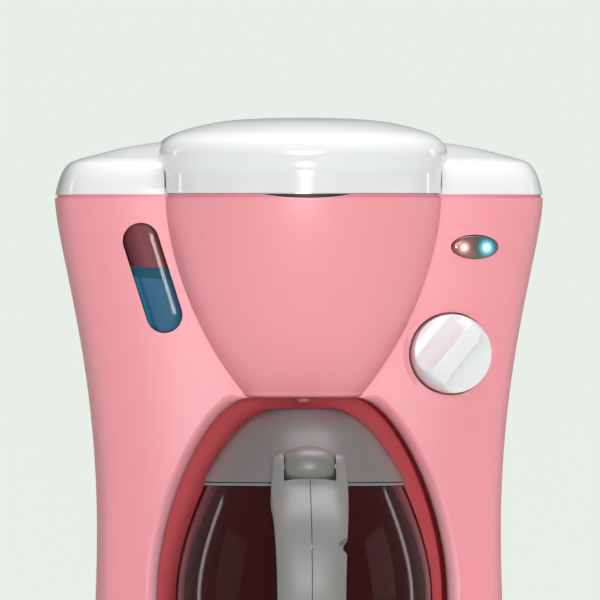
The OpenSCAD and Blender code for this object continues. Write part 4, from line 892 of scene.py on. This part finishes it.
def jug():
    bell = cut(jug_solid("bell_fine", 0), spout_cone("t_spout", 0), op="UNION")
    inner = cut(spout_cone("t_in", -GLASS_T), slab("t_keep", -30, 30, 60, 120, 60, 0), op="INTERSECT")
    cut(bell, slab("t_low", -60, 60, 20, BELLY_Z), jug_hollow("t_hollow"), inner,
        revolve("t_tongue", [(0.01, 59), (CARAFE_R - GLASS_T / 2 + 0.05, 59),
                             (CARAFE_R - GLASS_T / 2 + 0.05, 61.6), (0.01, 61.6)], AXIS_MM, 144),
        slab("t_top", -60, 60, MOUTH_Z, 130))
    shade(bell, 28)
    use(bell, glass, "carafe", ["carafe_jug"])
    line = [(r, z) for r, z in JUG_LINE if z <= BELLY_Z]
    inside = [(r - GLASS_T, z + (GLASS_T * (40 - z) / (40 - PLATE_Z) if z < 40 else 0)) for r, z in line]
    profile = [(0.01, PLATE_Z)] + line + [(CARAFE_R - GLASS_T / 2, BELLY_Z),
                                         (CARAFE_R - GLASS_T / 2, BELLY_Z + 1.5),
                                         (CARAFE_R - GLASS_T, BELLY_Z + 1.5)]
    profile += inside[::-1] + [(0.01, PLATE_Z + GLASS_T)]
    bowl = revolve("bowl_fine", profile, AXIS_MM, 192, 28)
    use(bowl, glass, "carafe", ["carafe_bowl"])


jug()


GRIP_IN = HANDLE_REACH - GRIP_T
FOOT_FRONT = [(55, 38.4), (66, 39.5), (HANDLE_REACH, 50), (HANDLE_REACH, 66)]
FOOT_INNER = [(53, 40.8), (57, 43), (GRIP_IN, 52), (GRIP_IN, 66)]
NECK_FRONT = [(HANDLE_REACH, 66), (HANDLE_REACH, 80), (HANDLE_REACH - 4.5, 90), (60, 98)]
NECK_INNER = [(GRIP_IN, 66), (GRIP_IN, 80), (GRIP_IN + 0.5, 91), (43, 90.5)]
ROOT_FRONT = [(60, 98), (56.5, 101.3), (54.4, 103), (HINGE_R + PRONG_R, LEVER_Z)]
ROOT_INNER = [(43, 90.5), (41.6, 95), (41.8, 102), (HINGE_R - PRONG_R, LEVER_Z)]
SHARES = ([(0.66, 0), (0.86, 0), (0.88, 0), (0.89, 0)], [(0.89, 0), (0.91, 0), (0.96, 0), (1, 0)],
          [(1, 0), (1.01, 0), (1, 0), (0.95, 0)])


def handle_sections():
    out = []
    for front, inner, share, n in ((FOOT_FRONT, FOOT_INNER, SHARES[0], 30),
                                   (NECK_FRONT, NECK_INNER, SHARES[1], 40),
                                   (ROOT_FRONT, ROOT_INNER, SHARES[2], 16)):
        out += [(bez(front, i / n), bez(inner, i / n), bez(share, i / n)[0]) for i in range(n)]
    for a in steps(0, math.radians(86), 15):
        out.append(((HINGE_R + PRONG_R * math.cos(a), LEVER_Z + PRONG_H * math.sin(a)),
                    (HINGE_R - PRONG_R * math.cos(a), LEVER_Z + PRONG_H * math.sin(a)),
                    0.95 - 0.2 * math.sin(a) ** 4))
    return out


def signed(value, power):
    return math.copysign(abs(value) ** power, value)


def handle(side, word):
    rows = []
    for front, inner, share in handle_sections():
        mid = ((front[0] + inner[0]) / 2, (front[1] + inner[1]) / 2)
        half = ((front[0] - inner[0]) / 2, (front[1] - inner[1]) / 2)
        ring = []
        for a in circle(96):
            q = signed(math.sin(a), 0.7)
            ring.append(world(HANDLE_W / 2 * share * signed(math.cos(a), 0.7),
                              CARAFE_AHEAD + mid[0] + half[0] * q, mid[1] + half[1] * q))
        rows.append(ring)
    points, faces = grid(rows, closed=True, cap_first=True, cap_last=True)
    grip = add_mesh("handle_" + word + "_fine", points, faces, 40)
    slot = LEVER_W / 2 + LEVER_GAP
    low, high = (-60, 0.13) if side > 0 else (-0.13, 60)
    hinge = (HINGE_R, LEVER_Z)
    cut(grip, slab("t_half", low, high, 20, 140),
        side_slab("t_barrel", disc(hinge, LEVER_R + LEVER_GAP), -slot, slot),
        side_slab("t_slot", [(HINGE_R - 14, MOUTH_Z - 2.4), (HINGE_R, MOUTH_Z - 2.4), (HINGE_R, 130),
                             (HINGE_R - 14, 130)], -slot, slot),
        side_slab("t_arm", [(36, MOUTH_Z - 9.05), (50.05, MOUTH_Z - 9.05), (50.05, MOUTH_Z - 2.35),
                            (36, MOUTH_Z - 2.35)], -ARM_W / 2 - 0.05, ARM_W / 2 + 0.05),
        side_slab("t_pin", disc(hinge, PIN_R + 0.02, 32), 1.9 - HANDLE_W / 2, HANDLE_W / 2 - 1.9),
        jug_solid("t_jug", 0.1, MOUTH_Z + 5, 96))
    for spot_at in ((HANDLE_REACH - GRIP_T / 2 - 1, 80), (HANDLE_REACH - GRIP_T / 2 - 0.6, 58)):
        if side < 0:
            cut(grip, side_slab("t_screw", disc(spot_at, SCREW_R, 32), -10, 1))
        else:
            cut(grip, side_slab("t_screw", disc(spot_at, SCREW_R + 0.2, 32), -1, 7),
                side_slab("t_head", disc(spot_at, HEAD_R + 0.3, 48), 6, 36))
    shade(grip, 32)
    bevel(grip, 0.3, 42, 3)
    use(grip, grey, "carafe", ["handle_" + word])


def dome():
    swell = curve([(MOUTH_R + 0.3, LID_FOOT + 0.8), (32.8, LID_FOOT + 7.6),
                   (26.4, DOME_Z - 6.2), (15.2, DOME_Z - 1)], 10)
    outer = through([(MOUTH_R + 0.3, LID_FOOT + 0.5), *swell[1:], (14, DOME_Z - 0.45), (12.6, DOME_Z)], 4)
    inner = curve([(MOUTH_R - 2.2, LID_FOOT + 2.4), (30.8, LID_FOOT + 8),
                   (24.9, DOME_Z - 8.2), (14.2, DOME_Z - 3)], 30)
    profile = [(COLLAR_R - 2.2, LID_FOOT - 3.4), (COLLAR_R - 0.6, LID_FOOT - 3.4), (COLLAR_R - 0.6, LID_FOOT),
               (MOUTH_R - 0.2, LID_FOOT), (MOUTH_R + 0.2, LID_FOOT + 0.15)] + outer
    profile += [(4.4, DOME_Z), (4, DOME_Z - 0.4), (4, DOME_Z - 2), (11.8, DOME_Z - 2)] + inner[::-1]
    profile += [(COLLAR_R - 2.2, LID_FOOT + 1.6)]
    rows = [[(r * MM * math.cos(a), AXIS[1] + r * MM * math.sin(a), z * MM) for a in circle(224)]
            for r, z in profile]
    points, faces = grid(rows + rows[:1], closed=True)
    lid_piece = add_mesh("dome_fine", points, faces, 40)
    barrel = []
    half = LEVER_W / 2
    middle = [(x, 1) for x in steps(-half + 0.5, half - 0.5, 24)]
    for x, k in [(-half, 0.01), (-half, 0.9)] + middle + [(half, 0.9), (half, 0.01)]:
        r = LEVER_R * math.sqrt(1 - (x / 11.5) ** 2) * k
        barrel.append([world(x, CARAFE_AHEAD + HINGE_R + r * math.cos(a), LEVER_Z + r * math.sin(a))
                       for a in circle(96)])
    points, faces = grid(barrel, closed=True, cap_first=True, cap_last=True)
    lever = add_mesh("t_lever", points, faces, 40)
    plate_line = [(26, LID_FOOT + 1), (26, 117)] + through([(33, 115.4), (38, 114.9), (43, 115.3),
                                                           (HINGE_R - 1.4, LEVER_Z + LEVER_R - 0.1)], 6)
    plate_line += [(HINGE_R, LEVER_Z - 2), (42, LID_FOOT + 1)]
    hill = [(-half, 100), (half, 100)]
    hill += [(half * math.cos(a), 112 + 4.25 * math.sin(a)) for a in steps(0.12, math.pi - 0.12, 40)]
    plate = cut(side_slab("t_plate", plate_line, -half, half),
                prism("t_hill", hill, CARAFE_AHEAD + 60, CARAFE_AHEAD + 20), op="INTERSECT")
    hollow = [(0.01, LID_FOOT - 10), (COLLAR_R - 2.2, LID_FOOT - 10),
              (COLLAR_R - 2.2, LID_FOOT + 1.6)] + inner
    cut(lever, plate, op="UNION")
    cut(lever, revolve("t_under", hollow + [(0.01, DOME_Z - 3)], AXIS_MM, 160))
    cut(lid_piece, lever, op="UNION")
    cut(lid_piece, side_slab("t_pin", disc((HINGE_R, LEVER_Z), PIN_R + 0.08, 32), -30, 30))
    shade(lid_piece, 30)
    bevel(lid_piece, 0.3, 40, 3)
    use(lid_piece, dome_grey, "carafe_lid", ["carafe_lid"])


handle(-1, "left")
handle(1, "right")
dome()


# ---------- the other nodes ----------
PLAIN = {
    "pink_plastic": pink, "white_plastic": white, "red_plastic": red, "grey_plastic": grey,
    "dark_plastic": dark, "clear_plastic": clear, "play_water": water, "steel": steel,
    "rubber": rubber, "board": board, "red_lamp": lamp_red, "blue_lamp": lamp_blue,
    "cell_sleeve": cell, "wire": wire, "tube": tube,
}
SLOT_OF = {s["node"]: s["material_slot"] for s in frame["record"]["subparts"]}
DONE = {"front_shell", "rear_shell", "top_cover", "lid", "water_window", "knob", "light_lens",
        "carafe_jug", "carafe_bowl", "handle_left", "handle_right", "carafe_lid"}
BODY_OF = {n: body for body, nodes in frame["record"]["behaviour"]["bodies"].items() for n in nodes}
SOFT_EDGE = {
    "base": 0.8, "bay_liner": 0.3, "warming_plate": 0.3, "carafe_collar": 0.2, "drip_nozzle": 0.2,
    "rubber_feet": 0.4, "bottom_plate": 0.3, "battery_door": 0.3, "water_spout": 0.2,
}
for node in frame["nodes"]:
    if node in DONE:
        continue
    copy = cleaned(node, node + "_skin")
    shade(copy, 30)
    if node in SOFT_EDGE:
        bevel(copy, SOFT_EDGE[node], 35, 3)
    use(copy, PLAIN[SLOT_OF[node]], BODY_OF[node], [node])


# ---------- floor, light and camera, in metres ----------
FLOOR_REACH, BEND_R, WALL_TOP, SINK = 30, 2, 20, 0.0002
CAMERA_FAR, VIEW_HALF = 8.0, 0.111


def stage_sheet():
    """A pale floor that turns up into a backdrop."""
    rows = []
    start = FLOOR_REACH - BEND_R
    bend = [(start + BEND_R * math.sin(a), BEND_R - BEND_R * math.cos(a))
            for a in [math.pi / 2 * k / 24 for k in range(1, 25)]]
    for y, z in [(-FLOOR_REACH, 0), (start, 0)] + bend + [(FLOOR_REACH, WALL_TOP)]:
        rows.append([(-FLOOR_REACH, y, z - SINK), (FLOOR_REACH, y, z - SINK)])
    points, faces = grid(rows)
    obj = add_mesh("floor", points, faces, 60)
    m = material("floor", srgb(228, 236, 229), 0.9)
    t = m.node_tree
    t.nodes["Principled BSDF"].inputs["Specular IOR Level"].default_value = 0.0
    # Seen directly, the sheet shows mostly its own pale colour and a little of the shadows on it.
    path = t.nodes.new("ShaderNodeLightPath")
    share = t.nodes.new("ShaderNodeMath")
    share.operation = "MULTIPLY"
    share.inputs[1].default_value = 0.9
    glow = t.nodes.new("ShaderNodeEmission")
    glow.inputs["Color"].default_value = srgb(240, 247, 240)
    both = t.nodes.new("ShaderNodeMixShader")
    t.links.new(path.outputs["Is Camera Ray"], share.inputs[0])
    t.links.new(share.outputs[0], both.inputs[0])
    t.links.new(t.nodes["Principled BSDF"].outputs[0], both.inputs[1])
    t.links.new(glow.outputs[0], both.inputs[2])
    t.links.new(both.outputs[0], t.nodes["Material Output"].inputs["Surface"])
    obj.data.materials.append(m)


def area(name, where, aim, size, power, size_y=None):
    lamp = bpy.data.lights.new(name, "AREA")
    lamp.energy = power
    lamp.size = size
    if size_y:
        lamp.shape = "RECTANGLE"
        lamp.size_y = size_y
    obj = bpy.data.objects.new(name, lamp)
    bpy.context.collection.objects.link(obj)
    obj.location = where
    obj.rotation_euler = (Vector(aim) - Vector(where)).to_track_quat("-Z", "Y").to_euler()
    return obj


stage_sheet()
area("front", (0, -2.1, 0.8), (0, 0, 0.15), 0.8, 9)
area("low", (-0.02, -2.6, 0.14), (0, 0, 0.12), 0.3, 22)
area("top", (0.1, 0.0, 1.35), (0, 0.0, 0.2), 0.9, 16)
area("left", (-1.8, -0.5, 0.5), (0, 0, 0.15), 0.9, 0.6)
area("right", (1.8, -0.5, 0.5), (0, 0, 0.15), 0.9, 1.2)
for side in (-1, 1):
    area("strip", (side * 1.41, 0.51, 0.3), (0, 0, 0.12), 0.12, 1.6, 1.0)

world_sky = bpy.data.worlds.new("sky")
bpy.context.scene.world = world_sky
world_sky.use_nodes = True
t = world_sky.node_tree
sky = t.nodes["Background"]
sky.inputs["Color"].default_value = (1, 1, 1, 1)
sky.inputs["Strength"].default_value = 0.3

cam_data = bpy.data.cameras.new("camera")
cam = bpy.data.objects.new("camera", cam_data)
bpy.context.collection.objects.link(cam)
bpy.context.scene.camera = cam
aim = Vector((0, 0.0255, 0.1702))
cam.location = aim + CAMERA_FAR * Vector((-0.0424, -0.9991, 0)).normalized()
cam.rotation_euler = (aim - cam.location).to_track_quat("-Z", "Y").to_euler()
cam_data.sensor_fit = "HORIZONTAL"
cam_data.angle = 2 * math.atan(VIEW_HALF / CAMERA_FAR)
cam_data.clip_start = 0.05

bpy.context.scene.view_settings.view_transform = "Standard"
